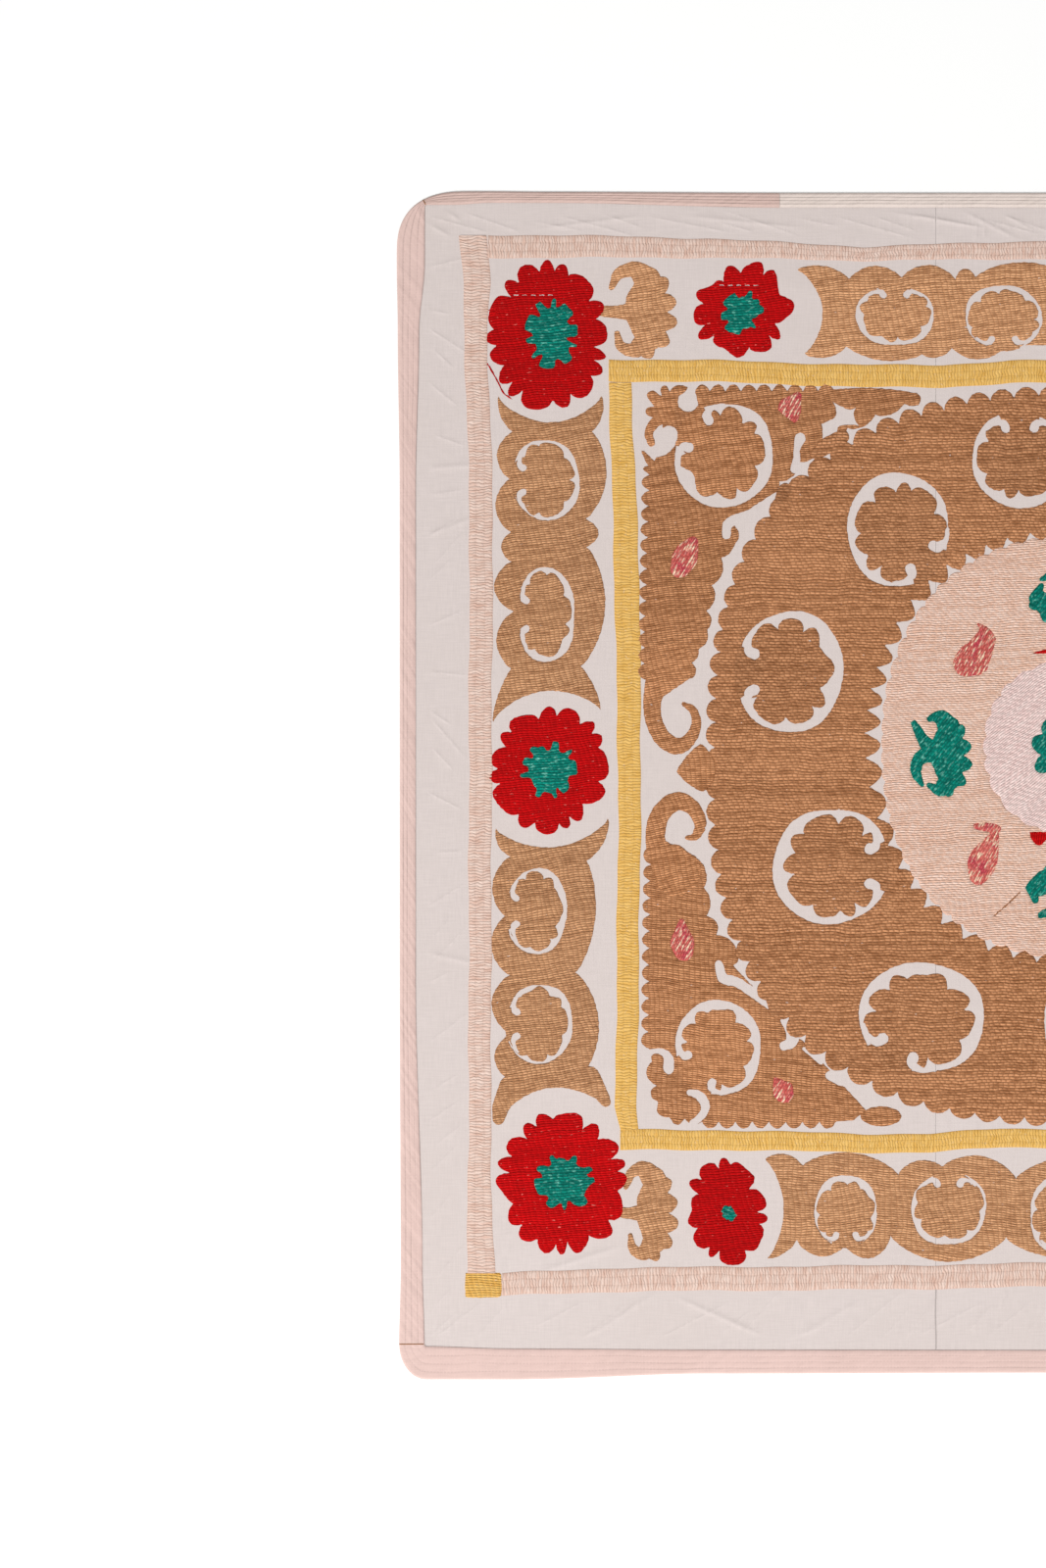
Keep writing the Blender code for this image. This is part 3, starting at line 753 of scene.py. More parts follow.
# Curls and bare commas of the left half: place and width along each
CURLS = [
    [(-491, 146, 58), (-509, 116, 26), (-511, 84, 21), (-499, 58, 21), (-480, 48, 20), (-464, 59, 15),
     (-458, 76, 12), (-462, 92, 10), (-474, 100, 5)],
    [(-482, -106, 60), (-506, -76, 27), (-506, -46, 24), (-495, -27, 23), (-478, -19, 22), (-461, -29, 18),
     (-453, -47, 15), (-459, -62, 10), (-470, -64, 5)],
]
COMMAS = [
    [(-492, 429, 23), (-495, 419, 21), (-502, 410, 15), (-512, 406, 8), (-522, 415, 5)],
    [(-468, 470, 26), (-467, 472, 25), (-465, 480, 12), (-463, 490, 8)],
    [(-331, 425, 14), (-335, 412, 8), (-335, 401, 9), (-337, 388, 12)],
    [(-360, 356, 6), (-373, 342, 16), (-391, 331, 15), (-410, 325, 13), (-420, 319, 12), (-421, 306, 10)],
    [(-524, -331, 10), (-513, -326, 6), (-500, -326, 8), (-492, -334, 12), (-492, -347, 13)],
    [(-463, -414, 8), (-451, -404, 9), (-447, -391, 11), (-455, -379, 11), (-467, -376, 7)],
    [(-365, -274, 6), (-386, -256, 11), (-408, -241, 12), (-425, -236, 13), (-430, -219, 10)],
    [(-351, -288, 8), (-341, -300, 16), (-341, -314, 14), (-351, -319, 11)],
    [(-326, -322, 5), (-305, -340, 5)],
    [(-294, -355, 12), (-277, -361, 16), (-260, -369, 8)],
]
# A bare patch between the upper spandrel and the medallion
PATCH = [(-292, 471, -1), (-279, 464, -4), (-262, 464, -5), (-258, 440, -2), (-284, 439, -1),
         (-286, 428, -2), (-304, 424, -1), (-305, 443, -1), (-288, 451, -3)]
# Lobes of the medallion that reach the spandrels
REACHES = [
    [(-312, 406, 14), (-297, 416, 20), (-279, 427, 17)],
    [(-356, 352, 12), (-349, 362, 17)],
    [(-368, -262, 10), (-361, -276, 16)],
]
PAISLEYS = [
    [(-113, 198, 3), (-102, 186, 13), (-100, 172, 22), (-110, 160, 36), (-120, 154, 42), (-127, 150, 34)],
    [(-115, -50, 8), (-101, -51, 11), (-90, -53, 10)],
    [(-93, -55, 9), (-94, -66, 15), (-100, -78, 28), (-107, -92, 35), (-111, -103, 32), (-113, -111, 22)],
    [(-333, 478, 8), (-340, 467, 24), (-344, 460, 28), (-338, 449, 10)],
    [(-463, 297, 16), (-468, 288, 27), (-473, 276, 31), (-478, 266, 24)],
    [(-476, -166, 6), (-476, -178, 20), (-475, -192, 30), (-473, -203, 24)],
    [(-361, -360, 7), (-357, -366, 18), (-352, -373, 27), (-350, -378, 22)],
]
WHITE_STITCHES = [(-692, 600, 6), (-430, 612, 5)]     # start and count of each run of bare stitches
DIAMOND = [(-482, 17, 3), (-453, 51, 4), (-434, 21, 4), (-450, -8, 3)]


@lru_cache(maxsize=1)
def pattern():
    """All motifs, the lower ones first."""
    made = Pattern()
    for line, slant in ((UPPER_SPANDREL, 6), (LOWER_SPANDREL, -5)):
        made.add("spandrel", lobed_outline(line), slant, both=True)
    for line in CURLS:
        made.add("spandrel", stroke(*line), 10, both=True)
    for line in FINGERS:
        made.add("spandrel", stroke(*line), 6, both=True)
    made.add("spandrel", superellipse(-232, -405, 25, 12), 0, both=True)
    halo = superellipse(*MEDALLION, MEDALLION_HALF[0] + HALO, MEDALLION_HALF[1] + HALO, 2.5)
    made.add(None, scalloped(halo, 84, -8, seed=5, uneven=0.3, wobble=2.0))
    for i, ring in enumerate(SPANDREL_RINGS):
        made.ring("spandrel", *ring, spread=RING_SPREADS[i], seed=i + 3, slant=6 - 11 * i, both=True)
    for line in COMMAS:
        made.add(None, stroke(*line), both=True)

    edge = superellipse(*MEDALLION, *MEDALLION_HALF, 2.5)
    made.add("medallion", scalloped(edge, 96, 14, seed=2, uneven=0.25, rounding=0.5, wobble=2.0))
    made.add(None, lobed_outline(PATCH), both=True)
    for line in REACHES:
        made.add("medallion", stroke(*line), both=True)
    made.add("spandrel", lobed_outline(DIAMOND), 0, both=True)
    for i, ring in enumerate(MEDALLION_RINGS):
        made.ring("medallion", *ring, seed=i, lobes=9 + i % 2)
    edge = superellipse(*INNER_MIDDLE, *INNER_HALF, 2.3)
    made.add(None, scalloped(edge, 55, -17, seed=4, uneven=0.25, rounding=0.8, wobble=2.0))
    made.add("disc", scalloped(superellipse(*INNER_MIDDLE, *DISC_HALF, 2.25), 74, 5, seed=1, uneven=0.3), 2)
    made.add("lilac", scalloped(superellipse(*INNER_MIDDLE, *LILAC_HALF, 2.2), 26, 5, seed=3), 35)

    middle = INNER_MIDDLE[0]
    forked = {"arms": FORKED_ARMS, "slant": 50}
    made.palmette("green", -158, 40, 38, 52, **forked)
    made.palmette("green", 2 * middle + 158, 40, 38, 52, turned=180, **forked)
    made.palmette("green", middle, 230, 36, 60, turned=-90, **forked)
    made.palmette("green", middle, -127, 36, 66, turned=90, **forked)
    made.add("red", lobed_outline([(middle - 56, 162, 8), (middle + 56, 162, 1)]), 80)
    made.add("red", lobed_outline([(middle - 60, -57, 1)]
                                  + lobes_between((middle + 60, -60), (middle - 60, -60), 5, 15)), 80)
    made.add("green", scalloped(superellipse(middle, 43, 59, 55), 9, 15, seed=2), 50)
    made.add("red", scalloped(superellipse(middle, 43, 19, 18), 8, 4, seed=1), 80)
    for line in PAISLEYS:
        made.add("coral", stroke(*line), 60, both=True)
    made.add("medallion", stroke((-94, -160, 1.2), (-78, -146, 1.2), (-61, -130, 1.2)), lot=0.0)

    for rows in (UPPER_SCROLL, LOWER_SCROLL):
        made.add("tan", lobed_outline(rows), 8, both=True, lot=SIDE_LOT)
    made.add("tan", lobed_outline(mirrored_rows(TOP_SCROLL, 0)), 4, lot=TOP_LOT)
    made.add("tan", lobed_outline(mirrored_rows(BOTTOM_SCROLL, 27)), -4, lot=BOTTOM_LOT)
    for i, ring in enumerate(BORDER_RINGS):
        lot = SIDE_LOT if ring.x < -500 else TOP_LOT if ring.y > 0 else BOTTOM_LOT
        made.ring("tan", *ring, **BORDER_RING_SHAPE, seed=i, slant=6, both=True, lot=lot)
    for line in TAILS:
        made.add("tan", stroke(*line), 8, both=True, lot=SIDE_LOT)
    made.ring("tan", *MIDDLE_RING, **BORDER_RING_SHAPE, seed=2, slant=6, lot=BOTTOM_LOT)
    made.palmette("tan", -528, 583, 48, 58, arms=STEM_ARMS, slant=8, both=True, lot=TOP_LOT)
    made.palmette("tan", -518, -520, 37, 61, arms=STEM_ARMS, slant=8, both=True, lot=BOTTOM_LOT)
    for flower in FLOWERS:
        edge = superellipse(*flower[:4])
        line = scalloped(edge, flower.lobes, flower.depth, flower.seed, uneven=0.25, wobble=2.5)
        made.add("red", line, 4, both=True)
    for centre in FLOWER_CENTRES:
        edge = superellipse(*centre[:4])
        line = scalloped(edge, centre.arms, centre.depth, centre.seed, uneven=0.2, wobble=1.5, square=True)
        made.add("green", line, 5, both=True)
    for x, y, count in WHITE_STITCHES:
        for i in range(count):
            left = x + 10.5 * i
            made.add(None, stroke((left, y, 1.0), (left + 3, y + 0.3, 1.2), (left + 6, y, 1.0)), both=True)
    made.add("red", stroke((-714, 517, 1.6), (-704, 500, 1.6), (-694, 481, 1.6), (-684, 473, 1.6)))
    made.add("red", stroke((-713, 581, 1.4), (-705, 584, 1.4), (-702, 579, 1.4), (-708, 577, 1.4)))
    made.add("yellow", lobed_outline([(-740, -597, 1), (-697, -597, 1), (-697, -626, 1), (-740, -626, 1)]),
             0, both=True)
    return made


def counter_clockwise(line):
    x, y = line.T
    area = np.dot(x, np.roll(y, -1)) - np.dot(y, np.roll(x, -1))
    return line if area > 0 else line[::-1]


def grid_points(cell, half_wide, half_tall):
    """A grid of points in alternate rows."""
    rows = np.arange(-half_tall, half_tall, cell * ROW_SHARE)
    columns = np.arange(-half_wide, half_wide, cell)
    x, y = np.meshgrid(columns, rows)
    x[1::2] += cell / 2
    return np.column_stack([x.ravel(), y.ravel()])


def triangulated(outlines, extra):
    """Triangles of outlines and loose points, with the last outline that each triangle lies in, or -1."""
    points = list(extra)
    loops = []
    for line in outlines:
        loops.append(list(range(len(points), len(points) + len(line))))
        points.extend(line)
    made = delaunay_2d_cdt([Vector(point) for point in points], [], loops, 0, 1e-7, True)
    places = np.array([point[:] for point in made[0]])
    return places, np.array(made[2]), np.array([max(held) if held else -1 for held in made[5]])


@lru_cache(maxsize=1)
def stitched_areas(step, cell):
    """The whole pattern as triangles: their points, and for each triangle its motif and its thread."""
    layers = pattern().layers
    lines = [counter_clockwise(resampled(line, step, closed=True)) for _, line, _, _ in layers]
    random = np.random.default_rng(FRAY_SEED)
    for i, line in enumerate(lines):
        fray = FRAY * random.uniform(-1, 1, len(line))
        lines[i] = line + left_normals(line, closed=True) * fray[:, None]
    rims = []
    for line in lines:
        normals = left_normals(line, closed=True)
        middle = (line + np.roll(line, -1, axis=0)) / 2
        rims += [middle + normals * RIM_STEEPNESS, middle - normals * RIM_STEEPNESS]
    extra = np.vstack([grid_points(cell, *SEWN_REACH)] + rims)
    places, triangles, owners = triangulated(lines, extra)
    threads = np.array([layers[i][0] or "" if i >= 0 else "" for i in owners])
    return places, triangles, owners, threads


# Meshes


def shell(name, places, triangles, top, bottom, slants=None, point_values=None, face_values=None):
    """A thin closed object between a top and a bottom height, with a UV map along its threads."""
    used, corners = np.unique(triangles, return_inverse=True)
    corners = corners.reshape(-1, 3)
    flat = places[used]
    a, b, c = (flat[corners[:, k]] for k in range(3))
    turned = (b[:, 0] - a[:, 0]) * (c[:, 1] - a[:, 1]) - (b[:, 1] - a[:, 1]) * (c[:, 0] - a[:, 0]) < 0
    corners[turned] = corners[turned][:, ::-1]
    count = len(used)
    edges = np.vstack([corners[:, [0, 1]], corners[:, [1, 2]], corners[:, [2, 0]]])
    owner = np.tile(np.arange(len(corners)), 3)
    keys = np.minimum(edges[:, 0], edges[:, 1]) * count + np.maximum(edges[:, 0], edges[:, 1])
    _, first, times = np.unique(keys, return_index=True, return_counts=True)
    open_edges = first[times == 1]
    sides = [(j, i, i + count, j + count) for i, j in edges[open_edges]]
    faces = corners.tolist() + (corners[:, ::-1] + count).tolist() + sides
    points = np.vstack([np.column_stack([flat, top[used]]), np.column_stack([flat, bottom[used]])])
    mesh = bpy.data.meshes.new(name)
    mesh.from_pydata(points.tolist(), [], faces)
    face_source = np.concatenate([np.arange(len(corners)), np.arange(len(corners)), owner[open_edges]])
    sizes = np.array([len(face) for face in faces])
    loops = np.empty(len(mesh.loops), int)
    mesh.loops.foreach_get("vertex_index", loops)
    slant = np.repeat((slants if slants is not None else np.zeros(len(corners)))[face_source], sizes)
    x, y = points[loops, 0], points[loops, 1]
    uv = np.column_stack([x * np.cos(slant) + y * np.sin(slant), y * np.cos(slant) - x * np.sin(slant)])
    mesh.uv_layers.new(name="threads").uv.foreach_set("vector", uv.astype(np.float32).ravel())
    if point_values is not None:
        layer = mesh.attributes.new("rim", "FLOAT", "POINT")
        layer.data.foreach_set("value", np.tile(point_values[used], 2).astype(np.float32))
    if face_values is not None:
        layer = mesh.attributes.new("motif", "FLOAT", "FACE")
        layer.data.foreach_set("value", face_values[face_source].astype(np.float32))
    return mesh


def rings_mesh(name, rings, along, across):
    """A closed strip lofted through equal rings of points, with a UV map along and across it."""
    rings = np.asarray(rings)
    count, size = rings.shape[:2]
    faces = []
    for i in range(count - 1):
        for j in range(size):
            k = (j + 1) % size
            faces.append((i * size + j, i * size + k, (i + 1) * size + k, (i + 1) * size + j))
    faces.append(tuple(range(size))[::-1])
    faces.append(tuple(range((count - 1) * size, count * size)))
    mesh = bpy.data.meshes.new(name)
    mesh.from_pydata(rings.reshape(-1, 3).tolist(), [], faces)
    values = np.column_stack([np.repeat(along, size), np.asarray(across).ravel()])
    loops = np.empty(len(mesh.loops), int)
    mesh.loops.foreach_get("vertex_index", loops)
    mesh.uv_layers.new(name="threads").uv.foreach_set("vector", values[loops].astype(np.float32).ravel())
    return mesh


def deselect_all():
    for other in bpy.context.selected_objects:
        other.select_set(False)


def finish_piece(name, mesh, finish):
    """Add a mesh as a piece, face it outward, shade it, and give it its finish."""
    piece = bpy.data.objects.new(name, mesh)
    bpy.context.scene.collection.objects.link(piece)
    deselect_all()
    piece.select_set(True)
    bpy.context.view_layer.objects.active = piece
    bpy.ops.object.mode_set(mode="EDIT")
    bpy.ops.mesh.select_all(action="SELECT")
    bpy.ops.mesh.normals_make_consistent(inside=False)
    bpy.ops.object.mode_set(mode="OBJECT")
    bpy.ops.object.shade_smooth_by_angle(angle=math.radians(SMOOTH_ANGLE))
    mesh.materials.append(finish)
    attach(piece, BODY)
    piece.select_set(False)
    return piece


# Shader nodes


def put(tree, socket, value):
    if isinstance(value, bpy.types.NodeSocket):
        tree.links.new(value, socket)
    else:
        socket.default_value = value


def calc(tree, operation, *values, clamp=False):
    made = tree.nodes.new("ShaderNodeMath")
    made.operation = operation
    made.use_clamp = clamp
    for socket, value in zip(made.inputs, values):
        put(tree, socket, value)
    return made.outputs[0]


def mix(tree, share, first, second, blend="MIX"):
    made = tree.nodes.new("ShaderNodeMix")
    made.data_type = "RGBA"
    made.blend_type = blend
    put(tree, made.inputs[0], share)
    put(tree, made.inputs[6], first)
    put(tree, made.inputs[7], second)
    return made.outputs[2]


def stretched(tree, vector, scale):
    made = tree.nodes.new("ShaderNodeMapping")
    put(tree, made.inputs["Vector"], vector)
    made.inputs["Scale"].default_value = scale
    return made.outputs[0]


def noise(tree, vector, scale, detail=2.0, roughness=0.5):
    made = tree.nodes.new("ShaderNodeTexNoise")
    put(tree, made.inputs["Vector"], vector)
    put(tree, made.inputs["Scale"], scale)
    made.inputs["Detail"].default_value = detail
    made.inputs["Roughness"].default_value = roughness
    return made.outputs[0]


def ramp(tree, value, low, high):
    """Maps a value from low..high to 0..1."""
    made = tree.nodes.new("ShaderNodeMapRange")
    put(tree, made.inputs["Value"], value)
    put(tree, made.inputs["From Min"], low)
    put(tree, made.inputs["From Max"], high)
    return made.outputs[0]


def split(tree, vector):
    made = tree.nodes.new("ShaderNodeSeparateXYZ")
    put(tree, made.inputs[0], vector)
    return made.outputs[0], made.outputs[1]


def dot_at(tree, value, centre, reach):
    """1 where a value is at the centre, falling to 0 at the reach."""
    off = calc(tree, "ABSOLUTE", calc(tree, "SUBTRACT", value, centre))
    return calc(tree, "SUBTRACT", 1.0, calc(tree, "DIVIDE", off, reach), clamp=True)


SOCKET = {"float": "NodeSocketFloat", "vector": "NodeSocketVector", "colour": "NodeSocketColor"}


def shader_group(name, inputs, outputs, build):
    """A node group built once and reused by name."""
    tree = bpy.data.node_groups.get(name)
    if tree is None:
        tree = bpy.data.node_groups.new(name, "ShaderNodeTree")
        for label, kind in inputs:
            tree.interface.new_socket(label, in_out="INPUT", socket_type=SOCKET[kind])
        for label, kind in outputs:
            tree.interface.new_socket(label, in_out="OUTPUT", socket_type=SOCKET[kind])
        start, end = tree.nodes.new("NodeGroupInput"), tree.nodes.new("NodeGroupOutput")
        for label, value in build(tree, start.outputs).items():
            tree.links.new(value, end.inputs[label])
    return tree


def use_group(tree, group, **values):
    made = tree.nodes.new("ShaderNodeGroup")
    made.node_tree = group
    for label, value in values.items():
        put(tree, made.inputs[label], value)
    return made.outputs


def couched_rows(tree, given):
    """Laid rows of thread, each held down by couching stitches of its own, with painted shade in the dips
    between the rows and at the couching stitches.
    """
    along, across = split(tree, given["Vector"])
    drift = calc(tree, "SUBTRACT", noise(tree, given["Vector"], 20.0, 3.0), 0.5)
    across = calc(tree, "ADD", across, calc(tree, "MULTIPLY", drift, 0.010))
    rows = calc(tree, "DIVIDE", across, given["Pitch"])
    off = calc(tree, "MULTIPLY_ADD", calc(tree, "FRACT", rows), 2.0, -1.0)
    off = calc(tree, "MULTIPLY", off, off)
    row = calc(tree, "FLOOR", rows)
    own = tree.nodes.new("ShaderNodeTexWhiteNoise")
    own.noise_dimensions = "1D"
    put(tree, own.inputs["W"], row)
    lean = calc(tree, "MULTIPLY", row, given["Lean"])
    lean = calc(tree, "MULTIPLY_ADD", own.outputs[0], given["Scatter"], lean)
    sway = calc(tree, "MULTIPLY", noise(tree, given["Vector"], 22.0), 2.4)
    stitches = calc(tree, "ADD", calc(tree, "DIVIDE", along, given["Stitch"]), calc(tree, "ADD", lean, sway))
    held = dot_at(tree, calc(tree, "FRACT", stitches), 0.5, 0.34)
    ridge = calc(tree, "SUBTRACT", 1.0, off)
    height = calc(tree, "MULTIPLY", ridge, calc(tree, "MULTIPLY_ADD", held, -0.6, 1.0))
    # painted shade: darker in the dips between two rows and at each couching stitch
    gap_shade = calc(tree, "MULTIPLY", calc(tree, "POWER", off, 1.3), calc(tree, "MULTIPLY_ADD", held, 0.6, 0.4))
    stitch_shade = dot_at(tree, calc(tree, "FRACT", stitches), 0.5, 0.22)
    gap_shade = calc(tree, "MAXIMUM", gap_shade, calc(tree, "MULTIPLY", stitch_shade, 0.85))
    streak = noise(tree, stretched(tree, given["Vector"], (70.0, 300.0, 1.0)), 1.0, 3.0, 0.7)
    streak = calc(tree, "MULTIPLY_ADD", calc(tree, "SUBTRACT", own.outputs[0], 0.5), 0.14, streak)
    return {"Height": height, "Gap": gap_shade, "Streak": streak}


def dyed_and_shaded_thread(tree, given):
    """Uneven dye, painted shade in the gaps between the rows and at the couching stitches, painted shade
    along a motif's edge, pale worn specks.
    """
    shade = calc(tree, "MULTIPLY_ADD", ramp(tree, given["Streak"], 0.38, 0.60), 0.94, 0.06)
    colour = mix(tree, shade, given["Dark"], given["Light"])
    # painted shade in the gaps between the rows and at the couching stitches
    colour = mix(tree, calc(tree, "MULTIPLY", given["Gap"], given["Valley"]), colour, given["Dark"])
    # painted shade along a motif's edge, where the thread slopes down into the cloth
    colour = mix(tree, calc(tree, "MULTIPLY", given["Rim"], 0.5, clamp=True), colour, given["Dark"])
    fade = ramp(tree, noise(tree, given["Vector"], 7.0, 3.0), 0.25, 0.75)
    colour = mix(tree, calc(tree, "MULTIPLY", fade, 0.22), colour, given["Light"])
    wear = noise(tree, stretched(tree, given["Vector"], (140.0, 330.0, 1.0)), 1.0, 2.0)
    specks = ramp(tree, wear, calc(tree, "SUBTRACT", 0.80, given["Wear"]), 0.76)
    colour = mix(tree, calc(tree, "MULTIPLY", specks, 0.75), colour, given["Bare"])
    lot = calc(tree, "MULTIPLY_ADD", given["Motif"], 0.16, 0.92)
    return {"Colour": mix(tree, 1.0, colour, lot, "MULTIPLY")}


def plain_weave(tree, given):
    """Threads going over and under each other."""
    drift = calc(tree, "MULTIPLY", noise(tree, given["Vector"], 60.0), 0.0012)
    along, across = split(tree, given["Vector"])
    first = calc(tree, "DIVIDE", calc(tree, "ADD", along, drift), given["Pitch"])
    second = calc(tree, "DIVIDE", calc(tree, "ADD", across, drift), given["Pitch"])
    warp = calc(tree, "SINE", calc(tree, "MULTIPLY", first, math.pi))
    weft = calc(tree, "SINE", calc(tree, "MULTIPLY", second, math.pi))
    height = calc(tree, "MULTIPLY_ADD", calc(tree, "MULTIPLY", warp, weft), 0.5, 0.5)
    slub = noise(tree, stretched(tree, given["Vector"], (40.0, 700.0, 1.0)), 1.0, 2.0)
    other = noise(tree, stretched(tree, given["Vector"], (700.0, 40.0, 1.0)), 1.0, 2.0)
    return {"Height": height, "Slub": calc(tree, "MULTIPLY", calc(tree, "ADD", slub, other), 0.5)}


def running_stitches(tree, given):
    """Stitch lines along a strip, at even shares of its width."""
    along, across = split(tree, given["Vector"])
    sway = calc(tree, "SUBTRACT", noise(tree, stretched(tree, given["Vector"], (14.0, 0.5, 1.0)), 1.0), 0.5)
    lanes = calc(tree, "MULTIPLY_ADD", across, float(TUCKS), calc(tree, "MULTIPLY", sway, given["Sway"]))
    near = calc(tree, "PINGPONG", lanes, 0.5)
    line = calc(tree, "SUBTRACT", 1.0, calc(tree, "DIVIDE", near, 0.16), clamp=True)
    dash = calc(tree, "FRACT", calc(tree, "DIVIDE", along, given["Stitch"]))
    dash = calc(tree, "LESS_THAN", dash, 0.62)
    return {"Line": line, "Stitches": calc(tree, "MULTIPLY", line, dash)}


ROWS = ("Couched Rows", (("Vector", "vector"), ("Pitch", "float"), ("Stitch", "float"), ("Lean", "float"),
                         ("Scatter", "float")),
        (("Height", "float"), ("Gap", "float"), ("Streak", "float")), couched_rows)
DYE_AND_SHADE = ("Dyed and Shaded Thread", (("Vector", "vector"), ("Light", "colour"), ("Dark", "colour"), ("Bare", "colour"),
                       ("Gap", "float"), ("Streak", "float"), ("Rim", "float"), ("Motif", "float"),
                       ("Valley", "float"), ("Wear", "float")), (("Colour", "colour"),), dyed_and_shaded_thread)
WEAVE = ("Plain Weave", (("Vector", "vector"), ("Pitch", "float")),
         (("Height", "float"), ("Slub", "float")), plain_weave)
TUCK_LINES = ("Running Stitches", (("Vector", "vector"), ("Stitch", "float"), ("Sway", "float")),
              (("Line", "float"), ("Stitches", "float")), running_stitches)


def new_finish(name, roughness):
    """A new finish, with its node tree and its shader."""
    made = bpy.data.materials.new(name)
    made.use_nodes = True
    shader = made.node_tree.nodes["Principled BSDF"]
    shader.inputs["Roughness"].default_value = roughness
    shader.inputs["Specular IOR Level"].default_value = SPECULAR
    return made, made.node_tree, shader


def add_bump(tree, shader, height, distance):
    made = tree.nodes.new("ShaderNodeBump")
    made.inputs["Distance"].default_value = distance
    put(tree, made.inputs["Height"], height)
    tree.links.new(made.outputs[0], shader.inputs["Normal"])


def uv_vector(tree):
    made = tree.nodes.new("ShaderNodeUVMap")
    made.uv_map = "threads"
    return made.outputs[0]


def attribute(tree, name):
    made = tree.nodes.new("ShaderNodeAttribute")
    made.attribute_name = name
    return made.outputs["Fac"]


def rgba(colour, share=1.0):
    return (*(part * share for part in colour), 1.0)


def tinted(colour, shares):
    return tuple(part * share for part, share in zip(colour, shares))


# A thread's colour, its dark as shares of that, the distance between its rows and between its couching
# stitches, how far these move on from row to row and how unevenly, the strength of the painted shade in
# the gaps between its rows, how worn it is, and its least roughness
Thread = namedtuple("Thread", "light dark pitch stitch lean scatter valley wear rough")
# A cotton's colour, and on a strip of binding how far the stitch lines sway and how strongly their painted
# shade and their grooves show
Cotton = namedtuple("Cotton", "colour sway strength", defaults=(None, 1.0))


def thread_finish(name, thread, bare, patches=()):
    """Embroidery thread in laid rows. Each patch is a second colour, the scale of its spots, and the
    noise values between which it shows."""
    finish, tree, shader = new_finish(name, 0.62)
    vector = uv_vector(tree)
    rows = use_group(tree, shader_group(*ROWS), Vector=vector, Pitch=thread.pitch, Stitch=thread.stitch,
                     Lean=thread.lean, Scatter=thread.scatter)
    dark = tinted(thread.light, thread.dark)
    colour = use_group(tree, shader_group(*DYE_AND_SHADE), Vector=vector, Light=rgba(thread.light), Dark=rgba(dark),
                       Bare=rgba(bare), Gap=rows["Gap"], Streak=rows["Streak"],
                       Rim=attribute(tree, "rim"), Motif=attribute(tree, "motif"), Valley=thread.valley,
                       Wear=thread.wear)["Colour"]
    for patch, scale, low, high in patches:
        colour = mix(tree, ramp(tree, noise(tree, stretched(tree, vector, scale), 1.0), low, high), colour,
                     rgba(patch))
    put(tree, shader.inputs["Base Color"], colour)
    fibres = noise(tree, stretched(tree, vector, (300.0, 2600.0, 1.0)), 1.0, 1.0)
    put(tree, shader.inputs["Roughness"], calc(tree, "MULTIPLY_ADD", fibres, 0.3, thread.rough))
    relief = calc(tree, "ADD", rows["Height"], calc(tree, "MULTIPLY", fibres, 0.25))
    add_bump(tree, shader, relief, THREAD_BUMP)
    return finish


